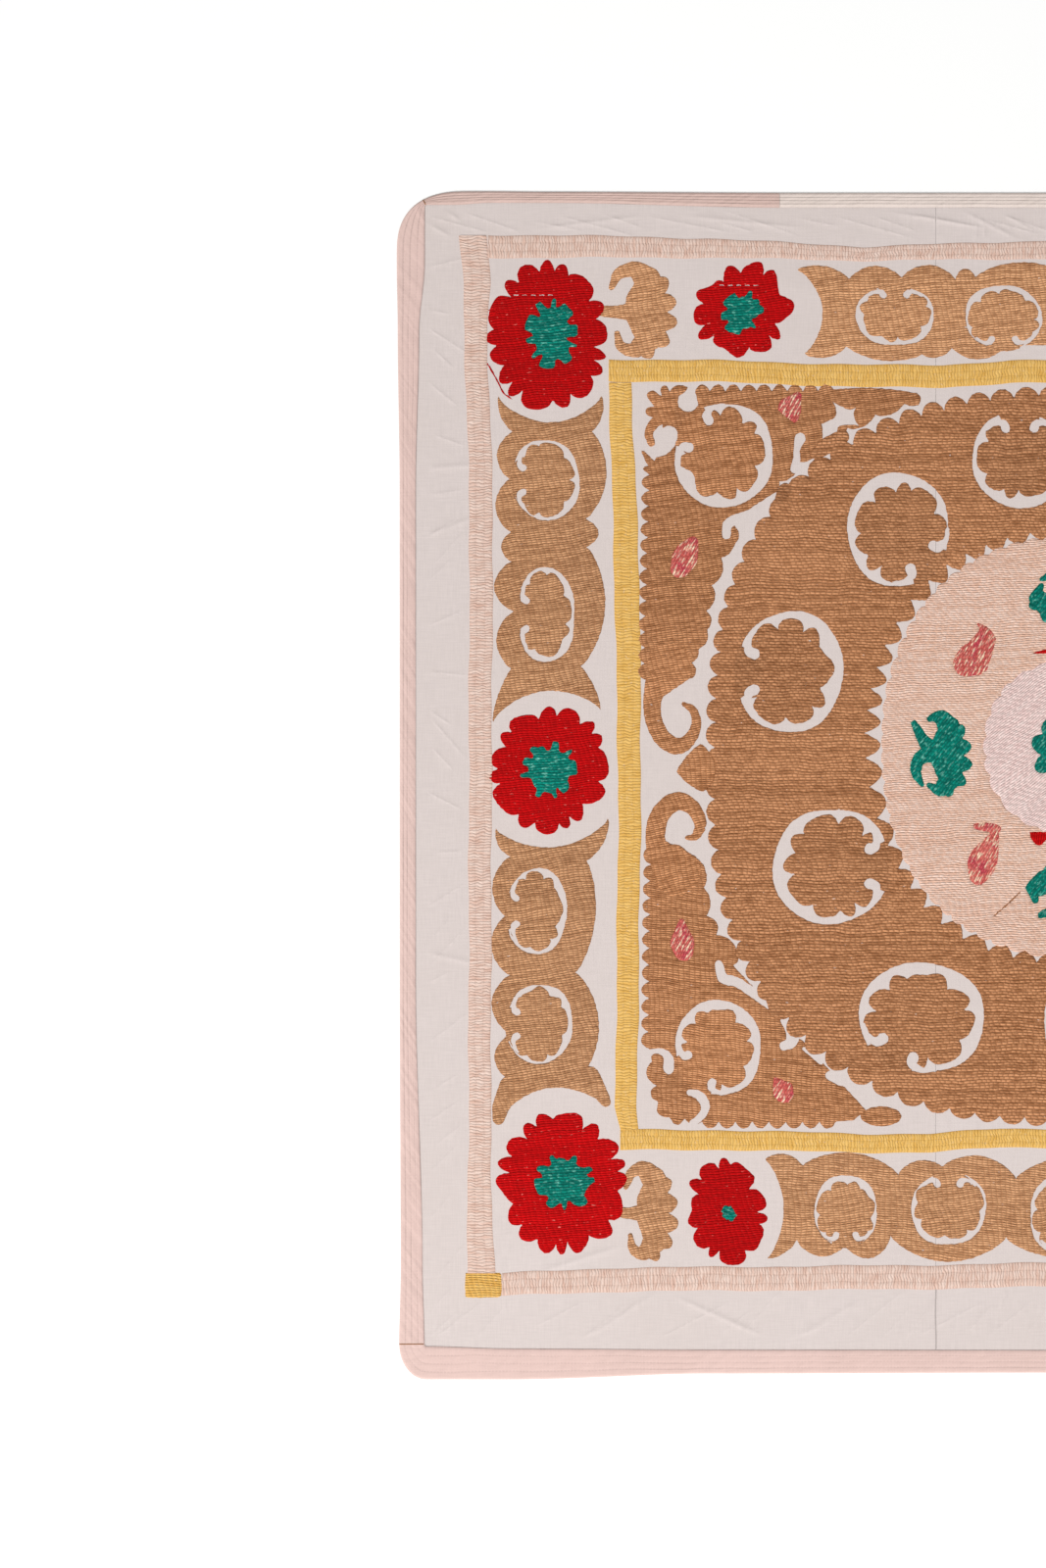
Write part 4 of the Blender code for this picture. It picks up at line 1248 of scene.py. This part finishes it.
def ladder_finish(name, light, dark, bare, pitch):
    """Close rungs of thread across a band, held by two couching threads, with painted shade in the dips
    between the rungs, stronger near the couching threads, and a darker edge line of painted shade where
    the band slopes down to the cloth.
    """
    finish, tree, shader = new_finish(name, 0.62)
    vector = uv_vector(tree)
    along, across = split(tree, vector)
    drift = calc(tree, "MULTIPLY", noise(tree, stretched(tree, vector, (60.0, 2.0, 1.0)), 1.0), 2.6)
    rung = calc(tree, "FRACT", calc(tree, "ADD", calc(tree, "DIVIDE", along, pitch), drift))
    off = calc(tree, "MULTIPLY_ADD", rung, 2.0, -1.0)
    ridge = calc(tree, "SUBTRACT", 1.0, calc(tree, "MULTIPLY", off, off))
    sway = calc(tree, "SUBTRACT", noise(tree, stretched(tree, vector, (40.0, 0.5, 1.0)), 1.0), 0.5)
    sway = calc(tree, "MULTIPLY", sway, 0.16)
    held = calc(tree, "ADD", across, sway)
    couching = calc(tree, "MAXIMUM", dot_at(tree, held, BAND_COUCHING[0], 0.06),
                    dot_at(tree, held, BAND_COUCHING[1], 0.06))
    near = calc(tree, "MAXIMUM", dot_at(tree, held, BAND_COUCHING[0], 0.2),
                dot_at(tree, held, BAND_COUCHING[1], 0.2))
    edge = calc(tree, "MAXIMUM", dot_at(tree, across, 0.0, 0.09), dot_at(tree, across, 1.0, 0.09))
    gap_shade = calc(tree, "POWER", calc(tree, "SUBTRACT", 1.0, ridge), 1.5)
    dye = noise(tree, stretched(tree, vector, (260.0, 1.5, 1.0)), 1.0, 3.0)
    colour = mix(tree, ramp(tree, dye, 0.3, 0.62), rgba(dark), rgba(light))
    patchy = ramp(tree, noise(tree, stretched(tree, vector, (120.0, 3.0, 1.0)), 1.0, 2.0), 0.35, 0.62)
    # painted shade in the dips between two rungs, stronger near the couching threads
    shade = calc(tree, "MULTIPLY", gap_shade, calc(tree, "MULTIPLY_ADD", near, 0.45, 0.2))
    colour = mix(tree, calc(tree, "MULTIPLY", shade, patchy), colour, rgba(dark, 0.55))
    specks = ramp(tree, noise(tree, stretched(tree, vector, (330.0, 9.0, 1.0)), 1.0, 2.0), 0.60, 0.72)
    colour = mix(tree, calc(tree, "MULTIPLY", specks, 0.3), colour, rgba(bare))
    colour = mix(tree, calc(tree, "MULTIPLY", couching, 0.22), colour, rgba(dark, 0.9))
    # painted shade along both edges of the band, where it slopes down to the cloth
    colour = mix(tree, calc(tree, "MULTIPLY", edge, 0.45), colour, rgba(dark, 0.9))
    put(tree, shader.inputs["Base Color"], colour)
    fibres = noise(tree, stretched(tree, vector, (2400.0, 12.0, 1.0)), 1.0, 1.0)
    put(tree, shader.inputs["Roughness"], calc(tree, "MULTIPLY_ADD", fibres, 0.3, 0.45))
    relief = calc(tree, "MULTIPLY_ADD", couching, -0.3, calc(tree, "MULTIPLY_ADD", fibres, 0.3, ridge))
    add_bump(tree, shader, relief, LADDER_BUMP)
    return finish


def cotton_finish(name, cotton, sizes):
    """Plain woven cotton, with stitch lines where it is a strip of binding. These are darker partly as
    running stitches and partly as painted shade in the grooves between the tucks, and the strip's inner
    edge is darkened as painted shade.
    """
    finish, tree, shader = new_finish(name, 0.88)
    colour = cotton.colour
    place = tree.nodes.new("ShaderNodeTexCoord").outputs["Object"]
    weave = use_group(tree, shader_group(*WEAVE), Vector=place, Pitch=sizes.weave_pitch)
    shade = ramp(tree, weave["Slub"], 0.35, 0.65)
    tone = mix(tree, shade, rgba(colour, 0.93), rgba(colour, 1.03))
    ageing = ramp(tree, noise(tree, place, 5.0, 4.0, 0.6), 0.35, 0.75)
    tone = mix(tree, calc(tree, "MULTIPLY", ageing, 0.30), tone, rgba(tinted(colour, AGED)))
    relief = weave["Height"]
    if cotton.sway is not None:
        vector = uv_vector(tree)
        along, across = split(tree, vector)
        lines = use_group(tree, shader_group(*TUCK_LINES), Vector=vector, Stitch=sizes.stitch_length,
                          Sway=cotton.sway)
        patchy = ramp(tree, noise(tree, stretched(tree, vector, (9.0, 1.6, 1.0)), 1.0, 2.0), 0.3, 0.65)
        patchy = calc(tree, "MULTIPLY", patchy, cotton.strength)
        line = calc(tree, "MULTIPLY", lines["Line"], patchy)
        # painted shade in the grooves between the tucks, where the stitch lines run
        tone = mix(tree, calc(tree, "MULTIPLY", line, 0.42), tone, rgba(colour, 0.6))
        tone = mix(tree, calc(tree, "MULTIPLY", lines["Stitches"], 0.22), tone, rgba(colour, 0.5))
        # painted shade along the strip's inner edge, where it steps down onto the ground
        inner = dot_at(tree, across, 0.985, 0.05)
        tone = mix(tree, calc(tree, "MULTIPLY", inner, 0.2), tone, rgba(colour, 0.5))
        fade = ramp(tree, noise(tree, place, 22.0, 2.0), 0.35, 0.7)
        tone = mix(tree, calc(tree, "MULTIPLY", fade, 0.25), tone, rgba(colour, 1.12))
        slanted = tree.nodes.new("ShaderNodeCombineXYZ")
        put(tree, slanted.inputs[0], calc(tree, "MULTIPLY_ADD", across, 0.035, along))
        put(tree, slanted.inputs[1], calc(tree, "MULTIPLY", across, 0.02))
        pulled = noise(tree, stretched(tree, slanted.outputs[0], (70.0, 12.0, 1.0)), 1.0, 1.0)
        relief = calc(tree, "MULTIPLY_ADD", line, -2.0, calc(tree, "MULTIPLY_ADD", pulled, 7.0, relief))
    put(tree, shader.inputs["Base Color"], tone)
    put(tree, shader.inputs["Roughness"], calc(tree, "MULTIPLY_ADD", shade, 0.08, 0.84))
    add_bump(tree, shader, relief, COTTON_BUMP)
    return finish


@lru_cache(maxsize=None)
def finish_for(name):
    """The finish of a piece by name, made once."""
    sizes, colours = bpy.context.scene.suzani_sizes, bpy.context.scene.suzani_colours
    bare = tuple(colours.ground)
    pitch = sizes.row_pitch
    brown, tan = colours.brown_thread, colours.tan_thread
    threads = {
        "medallion": Thread(colours.medallion_thread, (0.38, 0.30, 0.22),
                            pitch, 0.0066, 0.37, 0.6, 1.0, 0.06, 0.52),
        "spandrel": Thread(brown, (0.38, 0.30, 0.22),
                           0.75 * pitch, 0.0062, 0.05, 0.14, 1.0, 0.06, 0.52),
        "tan": Thread(tan, (0.44, 0.36, 0.30),
                      0.8 * pitch, 0.0062, 0.05, 0.2, 0.95, 0.06, 0.52),
        "red": Thread(colours.red_thread, (0.62, 0.3, 0.3),
                      0.0030, 0.0066, 0.10, 0.3, 0.80, 0.13, 0.64),
        "green": Thread(colours.green_thread, (0.2, 0.40, 0.42),
                        0.0034, 0.0066, 0.25, 0.5, 0.9, 0.24, 0.64),
        "yellow": Thread(colours.yellow_thread, (0.86, 0.72, 0.48),
                         0.0029, 0.0060, 0.10, 0.1, 0.60, 0.13, 0.55),
        "disc": Thread(colours.disc_thread, (0.80, 0.64, 0.54),
                       0.0028, 0.0080, 0.34, 0.6, 0.90, 0.15, 0.52),
        "lilac": Thread(colours.lilac_thread, (0.86, 0.76, 0.76),
                        0.0026, 0.0090, 0.30, 0.6, 0.70, 0.15, 0.52),
        "coral": Thread(colours.coral_thread, (0.72, 0.36, 0.38),
                        0.0028, 0.0060, 0.30, 0.4, 0.50, 0.16, 0.55),
    }
    specks = {"green": srgb(140, 220, 200), "red": srgb(244, 140, 128)}
    patches = {"coral": ((colours.crimson_thread, (60.0, 100.0, 1.0), 0.52, 0.66),
                         (colours.straw_thread, (80.0, 380.0, 1.0), 0.53, 0.63))}
    ladders = {
        "pink ladder": (colours.pink_thread, (0.84, 0.70, 0.64)),
        "yellow ladder": (colours.yellow_thread, (0.86, 0.76, 0.52)),
    }
    cottons = {
        "ground cotton": Cotton(bare),
        "pink cotton": Cotton(colours.pink_cotton, 0.35),
        "low cotton": Cotton(colours.pink_cotton, 0.8, 0.4),
        "rose cotton": Cotton(colours.rose_cotton, 1.1),
        "cream cotton": Cotton(colours.cream_cotton, 1.1),
        "seam cotton": Cotton(tinted(bare, SEAM_SHADE)),
        "seam thread": Cotton(tinted(brown, CORNER_SEAM_SHADE)),
    }
    if name in threads:
        return thread_finish(name + " thread", threads[name], specks.get(name, bare), patches.get(name, ()))
    if name in ladders:
        light, shares = ladders[name]
        return ladder_finish(name, light, tinted(light, shares), bare, sizes.rung_pitch)
    if name in cottons:
        return cotton_finish(name, cottons[name], sizes)
    raise ValueError(f"no finish is named {name}")


# Pieces


def clip_at_x(points, limit, keep_right):
    """The part of a closed outline that lies to one side of an upright line."""
    kept = []
    for a, b in zip(points, points[1:] + points[:1]):
        a_in, b_in = ((p.x >= limit) == keep_right for p in (a, b))
        if a_in:
            kept.append(a)
        if a_in != b_in:
            kept.append(a.lerp(b, (limit - a.x) / (b.x - a.x)))
    return kept


def make_ground(sizes):
    """The three panels of ground cloth, with their wrinkles and creases."""
    path = edge_path()
    edge = []
    for along in path.lengths[:-1]:
        point, inward, width = path.at(along)
        edge.append(point + inward * (width - lap_at(width)))
    half_gap = PIECE_GAP / 2
    beyond = 1.0
    spans = {
        "ground_left": (-beyond, -SEAM_X - half_gap),
        "ground_middle": (-SEAM_X + half_gap, SEAM_X - half_gap),
        "ground_right": (SEAM_X + half_gap, beyond),
    }
    grid = np.vstack([grid_points(sizes.ground_cell, *GROUND_REACH), crease_points()])
    pieces = []
    for name, (left, right) in spans.items():
        line = clip_at_x(clip_at_x(edge, left, keep_right=True), right, keep_right=False)
        line = counter_clockwise(resampled([point[:] for point in line], sizes.ground_cell, closed=True))
        near = grid[(grid[:, 0] > left) & (grid[:, 0] < right)]
        places, triangles, owners = triangulated([line], near)
        top = ground_top(*places.T)
        mesh = shell(name + "_cloth", places, triangles[owners >= 0], top, np.zeros(len(places)))
        piece = finish_piece(name + "_cloth", mesh, finish_for("ground cotton"))
        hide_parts(name)
        pieces.append(piece)
    return pieces


def seam_mesh(name, lines, half_wide):
    """Closed flat ribbons along lines of points, each given with the direction across it."""
    points, faces = [], []
    for line, across in lines:
        first = len(points)
        side = Vector((across[0], across[1], 0.0)) * half_wide
        for place in line:
            for way, lift in ((-1, -SEAM_SINK), (-1, SEAM_RISE), (1, SEAM_RISE), (1, -SEAM_SINK)):
                points.append(Vector(place) + side * way + Vector((0.0, 0.0, lift)))
        for i in range(len(line) - 1):
            for j in range(4):
                a, b = first + 4 * i + j, first + 4 * i + (j + 1) % 4
                faces.append((a, b, b + 4, a + 4))
        last = len(points) - 4
        faces += [(first, first + 1, first + 2, first + 3), (last + 3, last + 2, last + 1, last)]
    mesh = bpy.data.meshes.new(name)
    mesh.from_pydata([point[:] for point in points], [], faces)
    return mesh


def make_seams():
    """The seams between the ground's panels in its margins, and between the strips at the corners."""
    upright = []
    sway, wave = SEAM_WANDER
    y = np.array(steps_between(*SEAM_SPAN, SEAM_STEP))
    for middle in (-SEAM_X, SEAM_X):
        x = middle + sway * np.sin(y * wave)
        upright.append((np.column_stack([x, y, ground_top(x, y)]), (1.0, 0.0)))
    mesh = seam_mesh("panel_seams", upright, PANEL_SEAM_HALF)
    finish_piece("panel_seams", mesh, finish_for("seam cotton"))
    path = edge_path()
    corners = []
    for strip in STRIPS:
        if "middle" in strip.name or strip.name == "binding_top_right":
            continue
        point, inward, width = path.at(path.nearest(*strip.start))
        top = [(out, up) for out, up in strip_section(width) if up >= OUTER_EDGE_HEIGHT and out < width]
        line = [(point.x + inward.x * out, point.y + inward.y * out, up) for out, up in top[:-1]]
        corners.append((line, (-inward.y, inward.x)))
    mesh = seam_mesh("binding_seams", corners, CORNER_SEAM_HALF)
    finish_piece("binding_seams", mesh, finish_for("seam thread"))


def strip_section(width):
    """Section of a binding strip, from its outer foot over the tucks to the step on the ground's edge."""
    step = width - lap_at(width) - PIECE_GAP
    section = [(ROUNDING, 0.0), (0.0, OUTER_EDGE_HEIGHT)]
    first, last = 2 * ROUNDING, width - INNER_BEVEL
    full_rise = TUCK_RISE * (TUCK_WIDTH / max(width, TUCK_WIDTH)) ** 2
    steps = TUCKS * STEPS_A_TUCK
    for i in range(steps + 1):
        share = i / steps
        rise = full_rise * abs(math.sin(math.pi * share * TUCKS)) ** 0.7
        section.append((first + (last - first) * share, OUTER_TOP + (INNER_TOP - OUTER_TOP) * share + rise))
    section += [(width, LAP_UNDERSIDE + ROUNDING / 2), (width - ROUNDING / 2, LAP_UNDERSIDE)]
    section += [(step, LAP_UNDERSIDE), (step, 0.0)]
    return section


def make_binding():
    """The six strips sewn round the edge, each lofted through its sections."""
    path = edge_path()
    fast, cross, slow = PUCKER_WAVES
    for strip in STRIPS:
        start, end = path.nearest(*strip.start), path.nearest(*strip.end)
        if end < start:
            end += path.total
        start, end = start + PIECE_GAP / 2, end - PIECE_GAP / 2
        run = steps_between(start, end, EDGE_STEP)
        rings, across = [], []
        for along in run:
            point, inward, width = path.at(along)
            ring, shares = [], []
            for out, up in strip_section(width):
                place = point + inward * out
                lifted = OUTER_EDGE_HEIGHT < up and PUCKER_START < out < width - ROUNDING
                pucker = math.sin(along * fast + out * cross) * math.sin(along * slow) if lifted else 0.0
                ring.append((place.x, place.y, up + PUCKER * pucker))
                shares.append(out / width)
            rings.append(ring)
            across.append(shares)
        mesh = rings_mesh(strip.name + "_cloth", rings, np.array(run) - start, across)
        piece = finish_piece(strip.name + "_cloth", mesh, finish_for(strip.finish))
        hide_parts(strip.name)
        width = float(np.mean([path.at(along)[2] for along in run]))


def band_row(rows, along):
    """A band's middle and width at arrays of places along it, in metres."""
    known = np.array(rows) * MM
    return np.interp(along, known[:, 0], known[:, 1]), np.interp(along, known[:, 0], known[:, 2])


def make_band(name, rows, upright, flip, sizes):
    """Rings of points for one side of a ladder-stitched band."""
    start, end = rows[0].along * MM, rows[-1].along * MM
    stations = np.array(steps_between(start, end, sizes.rung_pitch / 2))
    middle, width = band_row(rows, stations)
    (wide, slow), (fine, fast) = BAND_WANDER
    middle = middle + wide * np.sin(stations * slow + len(name)) + fine * np.sin(stations * fast)
    shares = np.array(BAND_SECTION)
    off = (shares[None] - 0.5) * width[:, None] + middle[:, None]
    x, y = (off, np.repeat(stations[:, None], len(shares), 1)) if upright else (
        np.repeat(stations[:, None], len(shares), 1), off)
    if flip:
        x = -x
    full = np.ones(len(shares))
    full[[0, -1]] = 0.0
    couched = np.isclose(shares[:, None], BAND_COUCHING).any(axis=1)
    rung = np.where(np.arange(len(stations)) % 2, RUNG_DEPTH, 0.0)
    ground = ground_top(x, y)
    top = ground + RIM_HEIGHT + full * (sizes.band_relief - RIM_HEIGHT - rung[:, None] - BAND_DIP * couched)
    surface = np.stack([x, y, top], axis=2)
    feet = np.stack([x, y, ground - SEAT_DEPTH], axis=2)[:, [-1, 0]]
    rings = np.concatenate([surface, feet], axis=1)
    across = np.tile(np.concatenate([shares, [1.0, 0.0]]), (len(stations), 1))
    return rings_mesh(name, rings, stations - start, across)


def make_bands(sizes):
    """The pink and the yellow ladder-stitched frames, a piece for each side."""
    sides = [
        ("pink_band_left", PINK_LEFT, True, False), ("pink_band_right", PINK_LEFT, True, True),
        ("pink_band_top", PINK_TOP, False, False), ("pink_band_bottom", PINK_BOTTOM, False, False),
        ("yellow_band_left", YELLOW_LEFT, True, False), ("yellow_band_right", YELLOW_LEFT, True, True),
        ("yellow_band_top", YELLOW_TOP, False, False), ("yellow_band_bottom", YELLOW_BOTTOM, False, False),
    ]
    for name, rows, upright, flip in sides:
        tint = name.split("_")[0]
        mesh = make_band(name, rows, upright, flip, sizes)
        finish_piece(name, mesh, finish_for(tint + " ladder"))


def make_embroidery(name, thread, sizes):
    """All motifs sewn in one thread, raised from the ground."""
    places, triangles, owners, threads = stitched_areas(sizes.outline_step, sizes.stitch_cell)
    mine = threads == thread
    if not mine.any():
        raise RuntimeError(f"the pattern has no motif in {thread} thread")
    inside = np.zeros(len(places), bool)
    inside[np.unique(triangles[mine])] = True
    inside[np.unique(triangles[~mine])] = False
    ground = ground_top(*places.T)
    x, y = places.T
    wave_x, bend, wave_y = RELIEF_WAVES
    uneven = RELIEF_UNEVEN * np.sin(x * wave_x + 2 * np.sin(y * bend)) * np.sin(y * wave_y)
    top = ground + np.where(inside, sizes.relief + uneven, RIM_HEIGHT)
    layers = pattern().layers
    slants = np.array([layers[i][2] for i in owners[mine]])
    lots = np.array([layers[i][3] for i in owners[mine]])
    mesh = shell(name, places, triangles[mine], top, ground - SEAT_DEPTH, slants,
                 (~inside).astype(float), lots)
    finish_piece(name, mesh, finish_for(thread))


def make_stage():
    """A plain pale floor, soft light from all round and above, and the camera over the cloth."""
    deselect_all()
    bpy.ops.mesh.primitive_plane_add(size=FLOOR_SIZE, location=(0.0, 0.0, 0.0))
    floor = bpy.context.active_object
    floor.name = "floor"
    finish, tree, shader = new_finish("pale floor", 0.9)
    place = tree.nodes.new("ShaderNodeTexCoord").outputs["Object"]
    tone = mix(tree, noise(tree, place, 3.0, 3.0), rgba(srgb(252, 252, 251)), rgba(srgb(254, 254, 253)))
    put(tree, shader.inputs["Base Color"], tone)
    floor.data.materials.append(finish)

    world = bpy.data.worlds.new("soft studio")
    world.use_nodes = True
    background = world.node_tree.nodes["Background"]
    background.inputs["Color"].default_value = (1.0, 1.0, 1.0, 1.0)
    background.inputs["Strength"].default_value = WORLD_LIGHT
    bpy.context.scene.world = world
    lamp = bpy.data.lights.new("key light", "SUN")
    lamp.energy = SUN_POWER
    lamp.angle = math.radians(SUN_SPREAD)
    sun = bpy.data.objects.new("key light", lamp)
    sun.rotation_euler = [math.radians(turn) for turn in SUN_TURN]
    bpy.context.scene.collection.objects.link(sun)
    lamp = bpy.data.lights.new("soft box", "AREA")
    lamp.energy = BOX_POWER
    lamp.size = BOX_SIZE
    box = bpy.data.objects.new("soft box", lamp)
    box.location = BOX_PLACE
    box.rotation_euler = (Vector(BOX_AIM) - box.location).to_track_quat("-Z", "Y").to_euler()
    bpy.context.scene.collection.objects.link(box)

    lens = bpy.data.cameras.new("camera")
    lens.sensor_width = SENSOR
    lens.lens = SENSOR * CAMERA_HEIGHT / VIEW_TALL
    camera = bpy.data.objects.new("camera", lens)
    camera.location = (VIEW_X, VIEW_Y, CAMERA_HEIGHT)
    bpy.context.scene.collection.objects.link(camera)
    bpy.context.scene.camera = camera
    bpy.context.scene.view_settings.view_transform = "Standard"


# Operators


class SUZANI_OT_binding(bpy.types.Operator):
    """Sew the six strips of binding round the edge"""
    bl_idname = "suzani.binding"
    bl_label = "Binding strips"

    def execute(self, context):
        make_binding()
        return {"FINISHED"}


class SUZANI_OT_bands(bpy.types.Operator):
    """Sew the pink and yellow ladder bands"""
    bl_idname = "suzani.bands"
    bl_label = "Ladder bands"

    def execute(self, context):
        make_bands(context.scene.suzani_sizes)
        return {"FINISHED"}


class SUZANI_OT_field(bpy.types.Operator):
    """Sew the brown medallion and spandrels"""
    bl_idname = "suzani.field"
    bl_label = "Brown field"

    def execute(self, context):
        sizes = context.scene.suzani_sizes
        make_embroidery("brown_medallion", "medallion", sizes)
        make_embroidery("brown_spandrels", "spandrel", sizes)
        return {"FINISHED"}


class SUZANI_OT_border(bpy.types.Operator):
    """Sew the border's tan scrolls and leaves and its yellow corner patches"""
    bl_idname = "suzani.border"
    bl_label = "Border scrolls"

    def execute(self, context):
        sizes = context.scene.suzani_sizes
        make_embroidery("tan_scrolls", "tan", sizes)
        make_embroidery("yellow_patches", "yellow", sizes)
        return {"FINISHED"}


class SUZANI_OT_flowers(bpy.types.Operator):
    """Sew the red flowers, and the green centres and palmettes"""
    bl_idname = "suzani.flowers"
    bl_label = "Flowers"

    def execute(self, context):
        sizes = context.scene.suzani_sizes
        make_embroidery("red_flowers", "red", sizes)
        make_embroidery("green_motifs", "green", sizes)
        return {"FINISHED"}


class SUZANI_OT_centre(bpy.types.Operator):
    """Sew the discs in the medallion and the coral paisleys"""
    bl_idname = "suzani.centre"
    bl_label = "Centre"

    def execute(self, context):
        sizes = context.scene.suzani_sizes
        make_embroidery("pink_disc", "disc", sizes)
        make_embroidery("lilac_disc", "lilac", sizes)
        make_embroidery("coral_paisleys", "coral", sizes)
        return {"FINISHED"}


class SUZANI_OT_seams(bpy.types.Operator):
    """Sew the seams of the ground's panels and of the binding's corners"""
    bl_idname = "suzani.seams"
    bl_label = "Seams"

    def execute(self, context):
        make_seams()
        return {"FINISHED"}


class SUZANI_OT_ground(bpy.types.Operator):
    """Lay the ground's three panels under the finished embroidery"""
    bl_idname = "suzani.ground"
    bl_label = "Ground cloth"

    def execute(self, context):
        for piece in make_ground(context.scene.suzani_sizes):
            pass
        return {"FINISHED"}


class SUZANI_OT_stage(bpy.types.Operator):
    """Set the floor, the light and the camera"""
    bl_idname = "suzani.stage"
    bl_label = "Stage"

    def execute(self, context):
        make_stage()
        return {"FINISHED"}


OPERATORS = (SUZANI_OT_bands, SUZANI_OT_field, SUZANI_OT_border, SUZANI_OT_flowers, SUZANI_OT_centre,
             SUZANI_OT_seams, SUZANI_OT_ground, SUZANI_OT_binding, SUZANI_OT_stage)


class SUZANI_PT_panel(bpy.types.Panel):
    """Lists the suzani's pieces, sizes and colours"""
    bl_label = "Suzani"
    bl_idname = "SUZANI_PT_panel"
    bl_space_type = "VIEW_3D"
    bl_region_type = "UI"
    bl_category = "Suzani"

    def draw(self, context):
        for operator in OPERATORS:
            self.layout.operator(operator.bl_idname)
        for group in (context.scene.suzani_sizes, context.scene.suzani_colours):
            for name in group.__annotations__:
                self.layout.prop(group, name)


def register():
    for kind in (SuzaniSizes, SuzaniColours, *OPERATORS, SUZANI_PT_panel):
        bpy.utils.register_class(kind)
    bpy.types.Scene.suzani_sizes = PointerProperty(type=SuzaniSizes)
    bpy.types.Scene.suzani_colours = PointerProperty(type=SuzaniColours)


def unregister():
    del bpy.types.Scene.suzani_colours
    del bpy.types.Scene.suzani_sizes
    for kind in reversed((SuzaniSizes, SuzaniColours, *OPERATORS, SUZANI_PT_panel)):
        bpy.utils.unregister_class(kind)


def main():
    register()
    bpy.ops.suzani.bands()
    bpy.ops.suzani.field()
    bpy.ops.suzani.border()
    bpy.ops.suzani.flowers()
    bpy.ops.suzani.centre()
    bpy.ops.suzani.seams()
    bpy.ops.suzani.ground()
    bpy.ops.suzani.binding()
    bpy.ops.suzani.stage()


if __name__ == "__main__":
    main()
